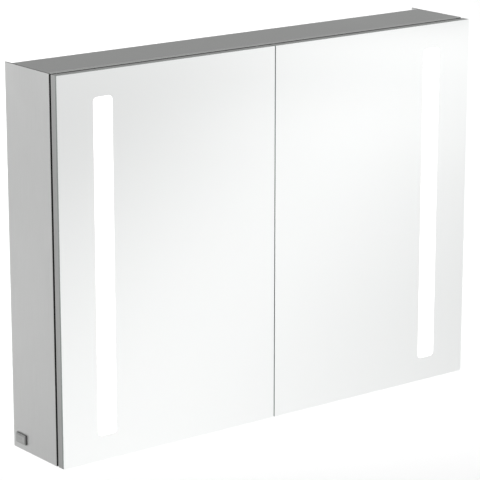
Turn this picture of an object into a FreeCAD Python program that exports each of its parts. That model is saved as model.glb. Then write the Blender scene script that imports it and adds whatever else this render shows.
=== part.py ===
import FreeCAD, Part
import math
import os
import Sketcher
from FreeCAD import Rotation, Vector

# A two-door mirror cabinet for a bathroom wall, in millimetres.
# +X runs to the right along the wall, +Y points into the wall and +Z is up. The wall is the plane
# y = 0, and the origin lies in it, midway between the two screw holes of the wall rail.

SIZES = {
    # the whole cabinet
    "width": 1000, "depth": 173, "height": 750,
    "rail_drop": 60,        # from the cabinet's top down to the wall rail's screws
    # doors
    "door_depth": 18, "door_gap": 6, "reveal": 1, "seam": 2, "glass": 4,
    "hinge_stile": 46, "slim_stile": 24,
    # lit window and the channel behind it
    "window_wide": 42, "window_inset": 100, "window_end": 50, "window_round": 8,
    "channel_wide": 48, "channel_deep": 8, "channel_wall": 1.5, "channel_over": 6, "diffuser": 1.5,
    "board_wide": 30, "board": 1.2, "chip": 3.5, "chip_tall": 0.8, "chip_first": 16,
    # carcass
    "skin": 3, "liner": 11, "panel": 12, "trim": 9, "top_stop": 20,
    "back_gap": 46, "back": 4, "divider": 14,
    "seal": 1.4, "seal_inset": 0.5,
    # shelves and their pins
    "shelf": 5, "shelf_play": 0.75, "shelf_front": 136, "shelf_rear": 54,
    "peg_round": 2.5, "peg_depth": 6, "peg_reach": 8, "peg_pitch": 32, "peg_front": 122, "peg_rear": 68,
    # hinges
    "hinge_low": 95, "hinge_pitch": 280, "pivot_inset": 9,
    "cup_inset": 21.5, "cup_round": 17.5, "cup_sheet": 0.8, "cup_deep": 13, "flange": 1.2,
    "flange_half": 28, "flange_near": 10, "flange_far": 39, "cup_screw_pitch": 45, "cup_screw_back": 9.5,
    "pin_round": 1.5, "pin_half": 10.4, "pin_play": 0.05, "eye_round": 2.6, "leg": 3, "leg_half": 5,
    "leg_near": 26, "leg_far": 30, "arm_half": 8, "arm_front": 138, "arm_rear": 86,
    "plate": 2, "plate_half": 17, "plate_front": 130, "plate_rear": 90,
    "plate_screw": 104, "plate_screw_rise": 12.5,
    "screw_round": 1.9, "screw_head": 3.5, "screw_head_tall": 1.6, "screw_bite": 7,
    # stop pads between the doors and the carcass
    "pad_round": 4, "pad_tall": 5.6, "pad_inset": 20, "pad_end": 7,
    # wall rail, hangers and lower spacers
    "rail_half": 350, "rail_plate": 3, "rail_rise": 20, "rail_lip": 9, "lip_tall": 13,
    "rail_screw": 250, "rail_hole": 3, "hanger_x": 320, "hanger_half": 15, "hanger_drop": 30,
    "hook_gap": 2.5, "hook_reach": 10, "adjuster_y": 28, "adjuster_round": 3, "adjuster_low": 20,
    "adjuster_head": 5, "adjuster_head_tall": 5,
    "spacer_x": 440, "spacer_up": 40, "spacer_round": 10, "spacer_hole": 2.5,
    # angle brackets in the rear space
    "bracket": 2, "bracket_leg": 24, "bracket_wide": 20, "bracket_inset": 220, "bracket_hole": 14,
    # socket box, gland, grommets and the lamp driver
    "socket_x": 400, "socket_pitch": 60, "socket_wide": 120, "socket_tall": 62, "socket_deep": 28,
    "well_round": 20.5, "well_wall": 1.3, "well_deep": 16, "well_floor": 2,
    "well_slot": 2.4, "well_slot_pitch": 19,
    "gland_round": 8, "gland_nut": 11, "gland_nut_tall": 6, "gland_dome": 9, "gland_tip": 6,
    "gland_dome_tall": 12, "gland_bore": 4,
    "grommet_up": 470, "grommet_inset": 28, "grommet_neck": 5, "grommet_flange": 7.5, "grommet_bore": 3,
    "grommet_lip": 1.5,
    "driver_x": 250, "driver_wide": 160, "driver_tall": 42, "driver_deep": 28, "driver_up": 130,
    "driver_round": 3,
    # switch on the left side, in the rear space
    "switch_y": 28.75, "switch_up": 22.5, "bezel_long": 33, "bezel_tall": 19.5, "bezel_proud": 3,
    "body_long": 29.8, "body_tall": 16.3, "body_deep": 16, "bezel_round": 1.2,
    "cap_long": 27, "cap_tall": 13.5, "cap_proud": 3.8, "cap_deep": 12, "cap_room": 2,
    "cap_play": 0.2, "cap_round": 1,
}

doc = FreeCAD.newDocument("mirror_cabinet")
sheet = doc.addObject("Spreadsheet::Sheet", "Dims")
subparts = []


class Size:
    """A length: its number, and the spreadsheet expression that gives it."""

    def __init__(self, text, value):
        self.text = text
        self.value = value

    def __add__(self, other):
        other = as_size(other)
        return Size(f"({self.text} + {other.text})", self.value + other.value)

    def __sub__(self, other):
        other = as_size(other)
        return Size(f"({self.text} - {other.text})", self.value - other.value)

    def __mul__(self, factor):
        return Size(f"({self.text} * {factor})", self.value * factor)

    def __truediv__(self, divisor):
        return Size(f"({self.text} / {divisor})", self.value / divisor)

    def __neg__(self):
        return Size(f"(0 - {self.text})", -self.value)


def as_size(length):
    """A Size, from a Size or a plain number."""
    return length if isinstance(length, Size) else Size(str(length), length)


def fill_sheet():
    """Write each driving dimension and its alias on its own row."""
    for row, (alias, value) in enumerate(SIZES.items(), start=1):
        sheet.set(f"A{row}", alias)
        sheet.set(f"B{row}", str(value))
        sheet.setAlias(f"B{row}", alias)
    doc.recompute()


class Cells:
    """The sheet's cells as Sizes, by alias."""

    def __getattr__(self, alias):
        return Size(f"Dims.{alias}", sheet.get(alias))


fill_sheet()
at = Cells()

# Planes that many pieces share.
HALF = at.width / 2
TOP = at.rail_drop
BOTTOM = at.rail_drop - at.height
FACE = -at.depth
GLASS_BACK = FACE + at.glass
DOOR_BACK = FACE + at.door_depth
FRONT = DOOR_BACK + at.door_gap
BACK_REAR = -at.back_gap
BACK_FRONT = BACK_REAR - at.back
ROOF = TOP - at.panel
FLOOR = BOTTOM + at.panel
LINED = at.skin + at.liner
DOOR_LOW = BOTTOM + at.reveal
DOOR_HIGH = TOP - at.reveal
DOOR_WIDE = HALF - at.seam / 2
PIVOT_Y = FACE + at.door_depth / 2
SHELF_LOW = FLOOR + (ROOF - FLOOR) / 3
SHELF_HIGH = FLOOR + (ROOF - FLOOR) * 2 / 3
LIGHT_LOW = BOTTOM + at.window_end - at.channel_over
LIGHT_HIGH = TOP - at.window_end + at.channel_over
SOCKET_Z = FLOOR + at.socket_tall / 2
SIDES = ("left", "right")
HINGES = 3          # on each door
PEG_HOLES = 3       # in each row about a shelf
CHIPS = 24          # on each lamp board
ALONG_Y = Rotation(Vector(1, 0, 0), -90)
ALONG_X = Rotation(Vector(0, 1, 0), 90)
UPRIGHT = Rotation()


# --- small helpers -----------------------------------------------------------------------------


def bind(thing, **lengths):
    """Bind properties of an object to the sheet."""
    for name, length in lengths.items():
        thing.setExpression(name, as_size(length).text)


def place(thing, x, y, z, turn=UPRIGHT):
    """Put an object at a point that the sheet gives, turned as asked."""
    thing.Placement = FreeCAD.Placement(Vector(0, 0, 0), turn)
    for axis, length in (("x", x), ("y", y), ("z", z)):
        thing.setExpression(f"Placement.Base.{axis}", as_size(length).text)


def keep(thing):
    """Count an object among the sub-parts that are written out."""
    subparts.append(thing)
    return thing


def across(side, near, far):
    """Low and high x of a stretch measured inwards from a side's outer face."""
    near, far = as_size(near), as_size(far)
    if side == "left":
        return near - HALF, far - HALF
    return HALF - far, HALF - near


def inward(side, distance):
    """The x that lies a distance inwards from a side's outer face."""
    return across(side, distance, distance)[0]


def slab(name, x, y, z):
    """A box between two values on each axis."""
    box = doc.addObject("Part::Box", name)
    bind(box, Length=as_size(x[1]) - x[0], Width=as_size(y[1]) - y[0], Height=as_size(z[1]) - z[0])
    place(box, x[0], y[0], z[0])
    return box


def rod(name, radius, length, x, y, z, turn=UPRIGHT):
    """A cylinder that starts at a point and runs along the turned Z axis."""
    cylinder = doc.addObject("Part::Cylinder", name)
    bind(cylinder, Radius=radius, Height=length)
    place(cylinder, x, y, z, turn)
    return cylinder


def group(name, pieces):
    """Several separate solids in one object."""
    bundle = doc.addObject("Part::Compound", name)
    bundle.Links = pieces
    return bundle


def join(name, pieces):
    """One solid from pieces that meet."""
    fused = doc.addObject("Part::MultiFuse", name)
    fused.Shapes = pieces
    fused.Refine = True
    return fused


def cut(name, base, tools):
    """A solid less every tool."""
    result = doc.addObject("Part::Cut", name)
    result.Base = base
    result.Tool = tools[0] if len(tools) == 1 else group(f"{name}_cutters", tools)
    return result


def new_body(name, x, y, z):
    """A PartDesign body whose own origin stands at a point that the sheet gives."""
    body = doc.addObject("PartDesign::Body", name)
    place(body, x, y, z)
    return body


def new_sketch(body, name, role, lift=None):
    """A sketch on one of the body's own origin planes, or lifted off it along its normal."""
    sketch = body.newObject("Sketcher::SketchObject", f"{body.Name}_{name}")
    plane = [feature for feature in body.Origin.OriginFeatures if feature.Role == role][0]
    sketch.AttachmentSupport = [(plane, "")]
    sketch.MapMode = "FlatFace"
    if lift is not None:
        sketch.setExpression("AttachmentOffset.Base.z", lift.text)
    return sketch


def dimension(sketch, kind, *where, length):
    """A driving dimension of a sketch, bound to the sheet."""
    index = sketch.addConstraint(Sketcher.Constraint(kind, *where, length.value))
    sketch.setExpression(f"Constraints[{index}]", length.text)


def pin_point(sketch, line, end, x, y):
    """Hold one end of a line, or a circle's centre, at a point of the sketch."""
    for kind, axis, length in (("DistanceX", -2, as_size(x)), ("DistanceY", -1, as_size(y))):
        if length.value == 0:
            sketch.addConstraint(Sketcher.Constraint("PointOnObject", line, end, axis))
        else:
            dimension(sketch, kind, -1, 1, line, end, length=length)


def rectangle(sketch, x, y, wide, tall):
    """A rectangle whose lower left corner is at x, y."""
    x, y, wide, tall = (as_size(length) for length in (x, y, wide, tall))
    left, low = x.value, y.value
    right, high = left + wide.value, low + tall.value
    corners = [Vector(left, low), Vector(right, low), Vector(right, high), Vector(left, high)]
    first = sketch.GeometryCount
    for i in range(4):
        sketch.addGeometry(Part.LineSegment(corners[i], corners[(i + 1) % 4]))
    for i in range(4):
        sketch.addConstraint(Sketcher.Constraint("Coincident", first + i, 2, first + (i + 1) % 4, 1))
    for i in (0, 2):
        sketch.addConstraint(Sketcher.Constraint("Horizontal", first + i))
        sketch.addConstraint(Sketcher.Constraint("Vertical", first + i + 1))
    pin_point(sketch, first, 1, x, y)
    dimension(sketch, "DistanceX", first, 1, first, 2, length=wide)
    dimension(sketch, "DistanceY", first + 1, 1, first + 1, 2, length=tall)


def polygon(sketch, points):
    """A closed outline through points given as pairs of Sizes, each point held in place."""
    first = sketch.GeometryCount
    spots = [Vector(as_size(x).value, as_size(y).value) for x, y in points]
    count = len(spots)
    for i in range(count):
        sketch.addGeometry(Part.LineSegment(spots[i], spots[(i + 1) % count]))
    for i in range(count):
        sketch.addConstraint(
            Sketcher.Constraint("Coincident", first + i, 2, first + (i + 1) % count, 1)
        )
        pin_point(sketch, first + i, 1, *points[i])


def rounded(sketch, x, y, wide, tall, radius):
    """A rectangle with round corners whose lower left extreme is at x, y."""
    x, y = as_size(x), as_size(y)
    left, low = x.value, y.value
    right, high, r = left + wide.value, low + tall.value, radius.value
    lines = [
        ((left + r, low), (right - r, low)),
        ((right, low + r), (right, high - r)),
        ((right - r, high), (left + r, high)),
        ((left, high - r), (left, low + r)),
    ]
    centres = [(right - r, low + r), (right - r, high - r), (left + r, high - r), (left + r, low + r)]
    first = sketch.GeometryCount
    for i in range(4):
        start, end = lines[i]
        sketch.addGeometry(Part.LineSegment(Vector(*start), Vector(*end)))
        corner = Part.Circle(Vector(*centres[i]), Vector(0, 0, 1), r)
        turn = math.radians(90 * (i - 1))
        sketch.addGeometry(Part.ArcOfCircle(corner, turn, turn + math.pi / 2))
    for i in range(4):
        line, arc, following = first + 2 * i, first + 2 * i + 1, first + (2 * i + 2) % 8
        sketch.addConstraint(Sketcher.Constraint("Tangent", line, 2, arc, 1))
        sketch.addConstraint(Sketcher.Constraint("Tangent", arc, 2, following, 1))
        if i:
            sketch.addConstraint(Sketcher.Constraint("Equal", first + 1, arc))
    sketch.addConstraint(Sketcher.Constraint("Horizontal", first))
    sketch.addConstraint(Sketcher.Constraint("Vertical", first + 2))
    dimension(sketch, "Radius", first + 1, length=radius)
    pin_point(sketch, first + 7, 3, x + radius, y + radius)
    dimension(sketch, "DistanceX", first + 7, 3, first + 1, 3, length=wide - radius * 2)
    dimension(sketch, "DistanceY", first + 1, 3, first + 3, 3, length=tall - radius * 2)


def circle(sketch, x, y, radius):
    """A circle about a point of the sketch."""
    x, y = as_size(x), as_size(y)
    index = sketch.addGeometry(Part.Circle(Vector(x.value, y.value), Vector(0, 0, 1), radius.value))
    pin_point(sketch, index, 3, x, y)
    dimension(sketch, "Radius", index, length=radius)


def pad(body, sketch, length):
    """Thicken a sketch along its normal."""
    feature = body.newObject("PartDesign::Pad", f"{sketch.Name}_pad")
    feature.Profile = sketch
    feature.setExpression("Length", length.text)
    doc.recompute()
    return feature


def pocket(body, sketch, depth, along_normal=True):
    """Sink a sketch into the body, and stop if nothing was removed."""
    before = body.Tip.Shape.Volume
    feature = body.newObject("PartDesign::Pocket", f"{sketch.Name}_pocket")
    feature.Profile = sketch
    feature.Reversed = along_normal
    feature.setExpression("Length", depth.text)
    doc.recompute()
    if not feature.Shape.Volume < before:
        raise RuntimeError(f"{feature.Name} removes nothing")
    return feature


def repeat(body, feature, sketch, axis, length, count):
    """Repeat a feature evenly along one of its sketch's axes."""
    pattern = body.newObject("PartDesign::LinearPattern", f"{feature.Name}_row")
    pattern.Originals = [feature]
    pattern.Direction = (sketch, [axis])
    pattern.setExpression("Length", length.text)
    pattern.Occurrences = count
    body.Tip = pattern
    doc.recompute()
    return pattern


# --- carcass -------------------------------------------------------------------------------------


def side_panel(side):
    """The 3 mm aluminium sheet of one side, full depth. The left one has the switch's cut-out."""
    body = new_body(f"{side}_side_panel", across(side, 0, at.skin)[0], FRONT, BOTTOM)
    outline = new_sketch(body, "outline", "YZ_Plane")
    rectangle(outline, 0, 0, -FRONT, at.height)
    pad(body, outline, at.skin)
    if side == "left":
        opening = new_sketch(body, "switch_opening", "YZ_Plane")
        rectangle(
            opening,
            -FRONT - at.switch_y - at.body_long / 2,
            at.switch_up - at.body_tall / 2,
            at.body_long,
            at.body_tall,
        )
        pocket(body, opening, at.skin)
    return keep(body)


def peg_holes(body, name, lift, cut_towards_normal):
    """Six peg holes in two rows, about each of the two shelf heights, sunk from a face."""
    for level, height in (("lower", SHELF_LOW), ("upper", SHELF_HIGH)):
        holes = new_sketch(body, f"{name}_{level}", "YZ_Plane", lift)
        for row in (at.peg_front, at.peg_rear):
            circle(holes, -row - FRONT, height - at.peg_round - at.peg_pitch - FLOOR, at.peg_round)
        feature = pocket(body, holes, at.peg_depth, cut_towards_normal)
        repeat(body, feature, holes, "V_Axis", at.peg_pitch * (PEG_HOLES - 1), PEG_HOLES)


def side_liner(side):
    """The inner wall of one side, with holes for the shelf pegs and the hinge plates' screws."""
    x = across(side, at.skin, LINED)
    body = new_body(f"{side}_side_liner", x[0], FRONT, FLOOR)
    outline = new_sketch(body, "outline", "YZ_Plane")
    rectangle(outline, 0, 0, BACK_FRONT - FRONT, ROOF - FLOOR)
    pad(body, outline, at.liner)
    inner_face = at.liner if side == "left" else None
    towards_normal = side != "left"
    peg_holes(body, "pegs", inner_face, towards_normal)
    screws = new_sketch(body, "screws", "YZ_Plane", inner_face)
    for half in (-1, 1):
        circle(
            screws,
            -at.plate_screw - FRONT,
            BOTTOM + at.hinge_low - FLOOR + at.plate_screw_rise * half,
            at.screw_round,
        )
    feature = pocket(body, screws, at.screw_bite, towards_normal)
    repeat(body, feature, screws, "V_Axis", at.hinge_pitch * (HINGES - 1), HINGES)
    return keep(body)


def partition():
    """The upright wall between the two compartments, with peg holes on both faces."""
    body = new_body("partition", -at.divider / 2, FRONT, FLOOR)
    outline = new_sketch(body, "outline", "YZ_Plane")
    rectangle(outline, 0, 0, BACK_FRONT - FRONT, ROOF - FLOOR)
    pad(body, outline, at.divider)
    peg_holes(body, "pegs_left", None, True)
    peg_holes(body, "pegs_right", at.divider, False)
    return keep(body)


def panels():
    """Top and bottom panels, each behind a lighter trim strip along its front edge."""
    span = across("left", at.skin, at.width - at.skin)
    for level, z in (("top", (ROOF, TOP)), ("bottom", (BOTTOM, FLOOR))):
        keep(slab(f"{level}_trim", span, (FRONT, FRONT + at.trim), z))
        board = slab(f"{level}_board", span, (FRONT + at.trim, -at.top_stop), z)
        holes = []
        inner = ROOF if level == "top" else FLOOR - at.screw_bite
        for side in SIDES:
            x = inward(side, at.bracket_inset + at.bracket_wide / 2)
            y = BACK_REAR + at.bracket_hole
            holes.append(rod(f"{level}_{side}_hole", at.screw_round, at.screw_bite, x, y, inner))
        keep(cut(f"{level}_panel", board, holes))


def back_panel():
    """The white back board, with holes for the gland, the door leads and the lower wall screws."""
    span = across("left", at.skin, at.width - at.skin)
    board = slab("back_board", span, (BACK_FRONT, BACK_REAR), (FLOOR, ROOF))
    holes = [
        rod("gland_hole", at.gland_round, at.back, at.socket_x, BACK_FRONT, SOCKET_Z, ALONG_Y)
    ]
    for side, sign in (("left", -1), ("right", 1)):
        x = inward(side, at.grommet_inset)
        z = BOTTOM + at.grommet_up
        holes.append(rod(f"{side}_lead_hole", at.grommet_neck, at.back, x, BACK_FRONT, z, ALONG_Y))
        x = at.spacer_x * sign
        z = BOTTOM + at.spacer_up
        holes.append(rod(f"{side}_low_hole", at.spacer_hole, at.back, x, BACK_FRONT, z, ALONG_Y))
    return keep(cut("back_panel", board, holes))


def seals():
    """Black foam strips on the front edges of both sides."""
    strips = []
    for side in SIDES:
        x = across(side, at.seal_inset, LINED - at.seal_inset)
        strips.append(slab(f"{side}_seal_strip", x, (FRONT - at.seal, FRONT), (DOOR_LOW, DOOR_HIGH)))
    return keep(group("side_seals", strips))


def shelves():
    """Four glass shelves, two in each compartment."""
    for side in SIDES:
        near = LINED + at.shelf_play
        far = HALF - at.divider / 2 - at.shelf_play
        for level, height in (("lower", SHELF_LOW), ("upper", SHELF_HIGH)):
            x = across(side, near, far)
            y = (-at.shelf_front, -at.shelf_rear)
            keep(slab(f"{side}_{level}_shelf", x, y, (height, height + at.shelf)))


def shelf_pegs():
    """Sixteen pegs: each fills its hole and reaches out under a shelf."""
    pegs = []
    for side in SIDES:
        outer = across(side, LINED - at.peg_depth, LINED + at.peg_reach)[0]
        middle = HALF - at.divider / 2
        inner = across(side, middle - at.peg_reach, middle + at.peg_depth)[0]
        for level, height in (("lower", SHELF_LOW), ("upper", SHELF_HIGH)):
            for row, y in (("front", at.peg_front), ("rear", at.peg_rear)):
                for wall, x in (("outer", outer), ("inner", inner)):
                    name = f"{side}_{level}_{row}_{wall}_peg"
                    length = at.peg_depth + at.peg_reach
                    z = height - at.peg_round
                    pegs.append(rod(name, at.peg_round, length, x, -y, z, ALONG_X))
    return keep(group("shelf_pegs", pegs))


# --- hinges' fixed halves --------------------------------------------------------------------------


def hinge_heights():
    """Names and heights of the hinges on a door."""
    first = BOTTOM + at.hinge_low
    return [(f"hinge_{i}", first + at.hinge_pitch * i) for i in range(HINGES)]


def mirrored_box(name, side, near, far, y, z, half):
    """A box centred on a height, between two distances inwards from a side's outer face."""
    return slab(name, across(side, near, far), y, (z - half, z + half))


def hinge_arm(side, name, z):
    """One hooked arm: an eye round the pivot, a leg along the door, a leg back and a body."""
    corner = PIVOT_Y - at.leg / 2
    eye = rod(
        f"{name}_eye", at.eye_round, at.leg_half * 2, inward(side, at.pivot_inset), PIVOT_Y, z - at.leg_half
    )
    along = mirrored_box(
        f"{name}_along", side, at.pivot_inset, at.leg_far, (corner, corner + at.leg), z, at.leg_half
    )
    back = mirrored_box(
        f"{name}_back", side, at.leg_near, at.leg_far, (corner, -at.arm_front), z, at.leg_half
    )
    body = mirrored_box(
        f"{name}_body",
        side,
        LINED + at.plate,
        at.leg_far,
        (-at.arm_front, -at.arm_rear),
        z,
        at.arm_half,
    )
    blank = join(f"{name}_blank", [eye, along, back, body])
    bore = rod(
        f"{name}_bore",
        at.pin_round + at.pin_play,
        at.leg_half * 2,
        inward(side, at.pivot_inset),
        PIVOT_Y,
        z - at.leg_half,
    )
    return cut(f"{name}_arm", blank, [bore])


def hinge_plate(side, name, z):
    """One mounting plate on the liner, wider than the arm so that its two screws show."""
    blank = mirrored_box(
        f"{name}_plate_blank",
        side,
        LINED,
        LINED + at.plate,
        (-at.plate_front, -at.plate_rear),
        z,
        at.plate_half,
    )
    low = across(side, LINED, LINED + at.plate)[0]
    holes = []
    for half in (-1, 1):
        height = z + at.plate_screw_rise * half
        holes.append(
            rod(f"{name}_hole_{half + 1}", at.screw_round, at.plate, low, -at.plate_screw, height, ALONG_X)
        )
    return cut(f"{name}_plate", blank, holes)


def hinge_fixed_halves():
    """Arms and plates of all six hinges."""
    arms = []
    plates = []
    for side in SIDES:
        for name, z in hinge_heights():
            arms.append(hinge_arm(side, f"{side}_{name}", z))
            plates.append(hinge_plate(side, f"{side}_{name}", z))
    keep(group("hinge_arms", arms))
    keep(group("hinge_plates", plates))


# --- doors -----------------------------------------------------------------------------------------


def mirror_glass(side):
    """The front glass of a door, with the rounded opening that the lit window fills."""
    body = new_body(f"{side}_door_mirror", across(side, 0, DOOR_WIDE)[0], GLASS_BACK, DOOR_LOW)
    outline = new_sketch(body, "outline", "XZ_Plane")
    rectangle(outline, 0, 0, DOOR_WIDE, DOOR_HIGH - DOOR_LOW)
    pad(body, outline, at.glass)
    opening = new_sketch(body, "opening", "XZ_Plane")
    near = at.window_inset - at.window_wide / 2
    x = near if side == "left" else DOOR_WIDE - near - at.window_wide
    tall = at.height - at.window_end * 2
    rounded(opening, x, at.window_end - at.reveal, at.window_wide, tall, at.window_round)
    pocket(body, opening, at.glass)
    return keep(body)


def light_window(side):
    """The frosted area of the glass, as a solid of its own that fills the opening."""
    near = at.window_inset - at.window_wide / 2
    x = across(side, near, near + at.window_wide)[0]
    body = new_body(f"{side}_door_light_window", x, GLASS_BACK, BOTTOM + at.window_end)
    outline = new_sketch(body, "outline", "XZ_Plane")
    tall = at.height - at.window_end * 2
    rounded(outline, 0, 0, at.window_wide, tall, at.window_round)
    pad(body, outline, at.glass)
    return keep(body)


def hinge_stile(side):
    """The wide upright of the door's frame, bored for three hinge cups and their screws."""
    body = new_body(
        f"{side}_door_hinge_stile", across(side, 0, at.hinge_stile)[0], DOOR_BACK, DOOR_LOW
    )
    outline = new_sketch(body, "outline", "XZ_Plane")
    rectangle(outline, 0, 0, at.hinge_stile, DOOR_HIGH - DOOR_LOW)
    pad(body, outline, at.door_depth - at.glass)
    bores = new_sketch(body, "bores", "XZ_Plane")
    centre = at.cup_inset if side == "left" else at.hinge_stile - at.cup_inset
    screw_x = centre + at.cup_screw_back * (1 if side == "left" else -1)
    z = at.hinge_low - at.reveal
    circle(bores, centre, z, at.cup_round)
    for half in (-1, 1):
        circle(bores, screw_x, z + at.cup_screw_pitch / 2 * half, at.screw_round)
    feature = pocket(body, bores, at.cup_deep)
    repeat(body, feature, bores, "V_Axis", at.hinge_pitch * (HINGES - 1), HINGES)
    return keep(body)


def slim_frame(side):
    """The three slim members of the door's frame: lock stile, top rail and bottom rail."""
    y = (GLASS_BACK, DOOR_BACK)
    stile_x = across(side, DOOR_WIDE - at.slim_stile, DOOR_WIDE)
    keep(slab(f"{side}_door_lock_stile", stile_x, y, (DOOR_LOW, DOOR_HIGH)))
    rail_x = across(side, at.hinge_stile, DOOR_WIDE - at.slim_stile)
    keep(slab(f"{side}_door_top_rail", rail_x, y, (DOOR_HIGH - at.slim_stile, DOOR_HIGH)))
    keep(slab(f"{side}_door_bottom_rail", rail_x, y, (DOOR_LOW, DOOR_LOW + at.slim_stile)))


def inner_mirror(side):
    """The second mirror, on the door's inner face, inside the frame."""
    x = across(side, at.hinge_stile, DOOR_WIDE - at.slim_stile)
    z = (DOOR_LOW + at.slim_stile, DOOR_HIGH - at.slim_stile)
    return keep(slab(f"{side}_door_inner_mirror", x, (DOOR_BACK - at.glass, DOOR_BACK), z))


def light_channel(side):
    """The U-shaped aluminium channel glued behind the window, open towards the glass."""
    near = at.window_inset - at.channel_wide / 2
    wall, wide, deep = at.channel_wall, at.channel_wide, at.channel_deep
    x = across(side, near, near + wide)[0]
    body = new_body(f"{side}_door_light_channel", x, GLASS_BACK, LIGHT_LOW)
    outline = new_sketch(body, "outline", "XY_Plane")
    points = [
        (0, 0), (wall, 0), (wall, deep - wall), (wide - wall, deep - wall),
        (wide - wall, 0), (wide, 0), (wide, deep), (0, deep),
    ]
    polygon(outline, points)
    pad(body, outline, LIGHT_HIGH - LIGHT_LOW)
    return keep(body)


def diffuser(side):
    """The opal sheet between the lamps and the glass."""
    near = at.window_inset - at.channel_wide / 2 + at.channel_wall
    x = across(side, near, near + at.channel_wide - at.channel_wall * 2)
    y = (GLASS_BACK, GLASS_BACK + at.diffuser)
    return keep(slab(f"{side}_door_diffuser", x, y, (LIGHT_LOW, LIGHT_HIGH)))


def led_board(side):
    """The circuit board on the channel's floor, with a row of lamp chips on it."""
    near = at.window_inset - at.board_wide / 2
    seat = GLASS_BACK + at.channel_deep - at.channel_wall
    body = new_body(f"{side}_door_led_board", across(side, near, near + at.board_wide)[0], seat, LIGHT_LOW)
    board = new_sketch(body, "board", "XZ_Plane")
    rectangle(board, 0, 0, at.board_wide, LIGHT_HIGH - LIGHT_LOW)
    pad(body, board, at.board)
    chip = new_sketch(body, "chip", "XZ_Plane", at.board)
    rectangle(chip, at.board_wide / 2 - at.chip / 2, at.chip_first, at.chip, at.chip)
    feature = pad(body, chip, at.chip_tall)
    run = LIGHT_HIGH - LIGHT_LOW - at.chip_first * 2 - at.chip
    repeat(body, feature, chip, "V_Axis", run, CHIPS)
    return keep(body)


def hinge_cup(side, name, z):
    """A dished steel cup with a flange on the door's inner face, drilled for the pivot pin."""
    x = inward(side, at.cup_inset)
    bowl = rod(f"{name}_bowl", at.cup_round, at.cup_deep, x, DOOR_BACK - at.cup_deep, z, ALONG_Y)
    flange = mirrored_box(
        f"{name}_flange",
        side,
        at.flange_near,
        at.flange_far,
        (DOOR_BACK, DOOR_BACK + at.flange),
        z,
        at.flange_half,
    )
    disc = rod(f"{name}_rim", at.cup_round, at.flange, x, DOOR_BACK, z, ALONG_Y)
    blank = join(f"{name}_cup_blank", [bowl, flange, disc])
    hollow = rod(
        f"{name}_hollow",
        at.cup_round - at.cup_sheet,
        at.cup_deep + at.flange,
        x,
        DOOR_BACK - at.cup_deep + at.cup_sheet,
        z,
        ALONG_Y,
    )
    pin_x = inward(side, at.pivot_inset)
    holes = [hollow]
    holes.append(rod(f"{name}_pin_hole", at.pin_round, at.pin_half * 2, pin_x, PIVOT_Y, z - at.pin_half))
    screw_x = inward(side, at.cup_inset + at.cup_screw_back)
    for half in (-1, 1):
        height = z + at.cup_screw_pitch / 2 * half
        holes.append(
            rod(
                f"{name}_flange_hole_{half + 1}",
                at.screw_round,
                at.flange,
                screw_x,
                DOOR_BACK,
                height,
                ALONG_Y,
            )
        )
    return cut(f"{name}_cup", blank, holes)


def door_hinges(side):
    """Cups, pivot pins and cup screws of one door."""
    cups = []
    pins = []
    screws = []
    pin_x = inward(side, at.pivot_inset)
    screw_x = inward(side, at.cup_inset + at.cup_screw_back)
    for hinge, z in hinge_heights():
        name = f"{side}_door_{hinge}"
        cups.append(hinge_cup(side, name, z))
        pins.append(rod(f"{name}_pin", at.pin_round, at.pin_half * 2, pin_x, PIVOT_Y, z - at.pin_half))
        for half in (-1, 1):
            height = z + at.cup_screw_pitch / 2 * half
            head_y = DOOR_BACK + at.flange
            shank_y = head_y - at.screw_bite
            screw = f"{name}_screw_{half + 1}"
            head = rod(
                f"{screw}_head", at.screw_head, at.screw_head_tall, screw_x, head_y, height, ALONG_Y
            )
            shank = rod(
                f"{screw}_shank", at.screw_round, at.screw_bite, screw_x, shank_y, height, ALONG_Y
            )
            screws.append(join(screw, [head, shank]))
    keep(group(f"{side}_door_hinge_cups", cups))
    keep(group(f"{side}_door_hinge_pins", pins))
    keep(group(f"{side}_door_cup_screws", screws))


def door_pads(side):
    """Two soft stop pads near the door's free edge, top and bottom."""
    x = inward(side, DOOR_WIDE - at.pad_inset)
    pads = []
    for level, z in (("top", TOP - at.pad_end), ("bottom", BOTTOM + at.pad_end)):
        pads.append(rod(f"{side}_{level}_pad", at.pad_round, at.pad_tall, x, DOOR_BACK, z, ALONG_Y))
    return keep(group(f"{side}_door_stop_pads", pads))


def door(side):
    """Every piece of one door."""
    mirror_glass(side)
    light_window(side)
    hinge_stile(side)
    slim_frame(side)
    inner_mirror(side)
    light_channel(side)
    led_board(side)
    diffuser(side)
    door_hinges(side)
    door_pads(side)


# --- fixings ---------------------------------------------------------------------------------------


def angle_brackets():
    """Four angle brackets in the rear space that tie the back board to the top and bottom."""
    brackets = []
    for side in SIDES:
        x = across(side, at.bracket_inset, at.bracket_inset + at.bracket_wide)
        hole_x = inward(side, at.bracket_inset + at.bracket_wide / 2)
        for level in ("top", "bottom"):
            if level == "top":
                tall = (ROOF - at.bracket_leg, ROOF)
                flat = (ROOF - at.bracket, ROOF)
            else:
                tall = (FLOOR, FLOOR + at.bracket_leg)
                flat = (FLOOR, FLOOR + at.bracket)
            name = f"{side}_{level}_bracket"
            upright = slab(f"{name}_upright", x, (BACK_REAR, BACK_REAR + at.bracket), tall)
            leg = slab(f"{name}_leg", x, (BACK_REAR, BACK_REAR + at.bracket_leg), flat)
            hole_y = BACK_REAR + at.bracket_hole
            hole = rod(f"{name}_hole", at.screw_round, at.bracket, hole_x, hole_y, flat[0])
            brackets.append(cut(name, join(f"{name}_angle", [upright, leg]), [hole]))
    return keep(group("angle_brackets", brackets))


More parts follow.
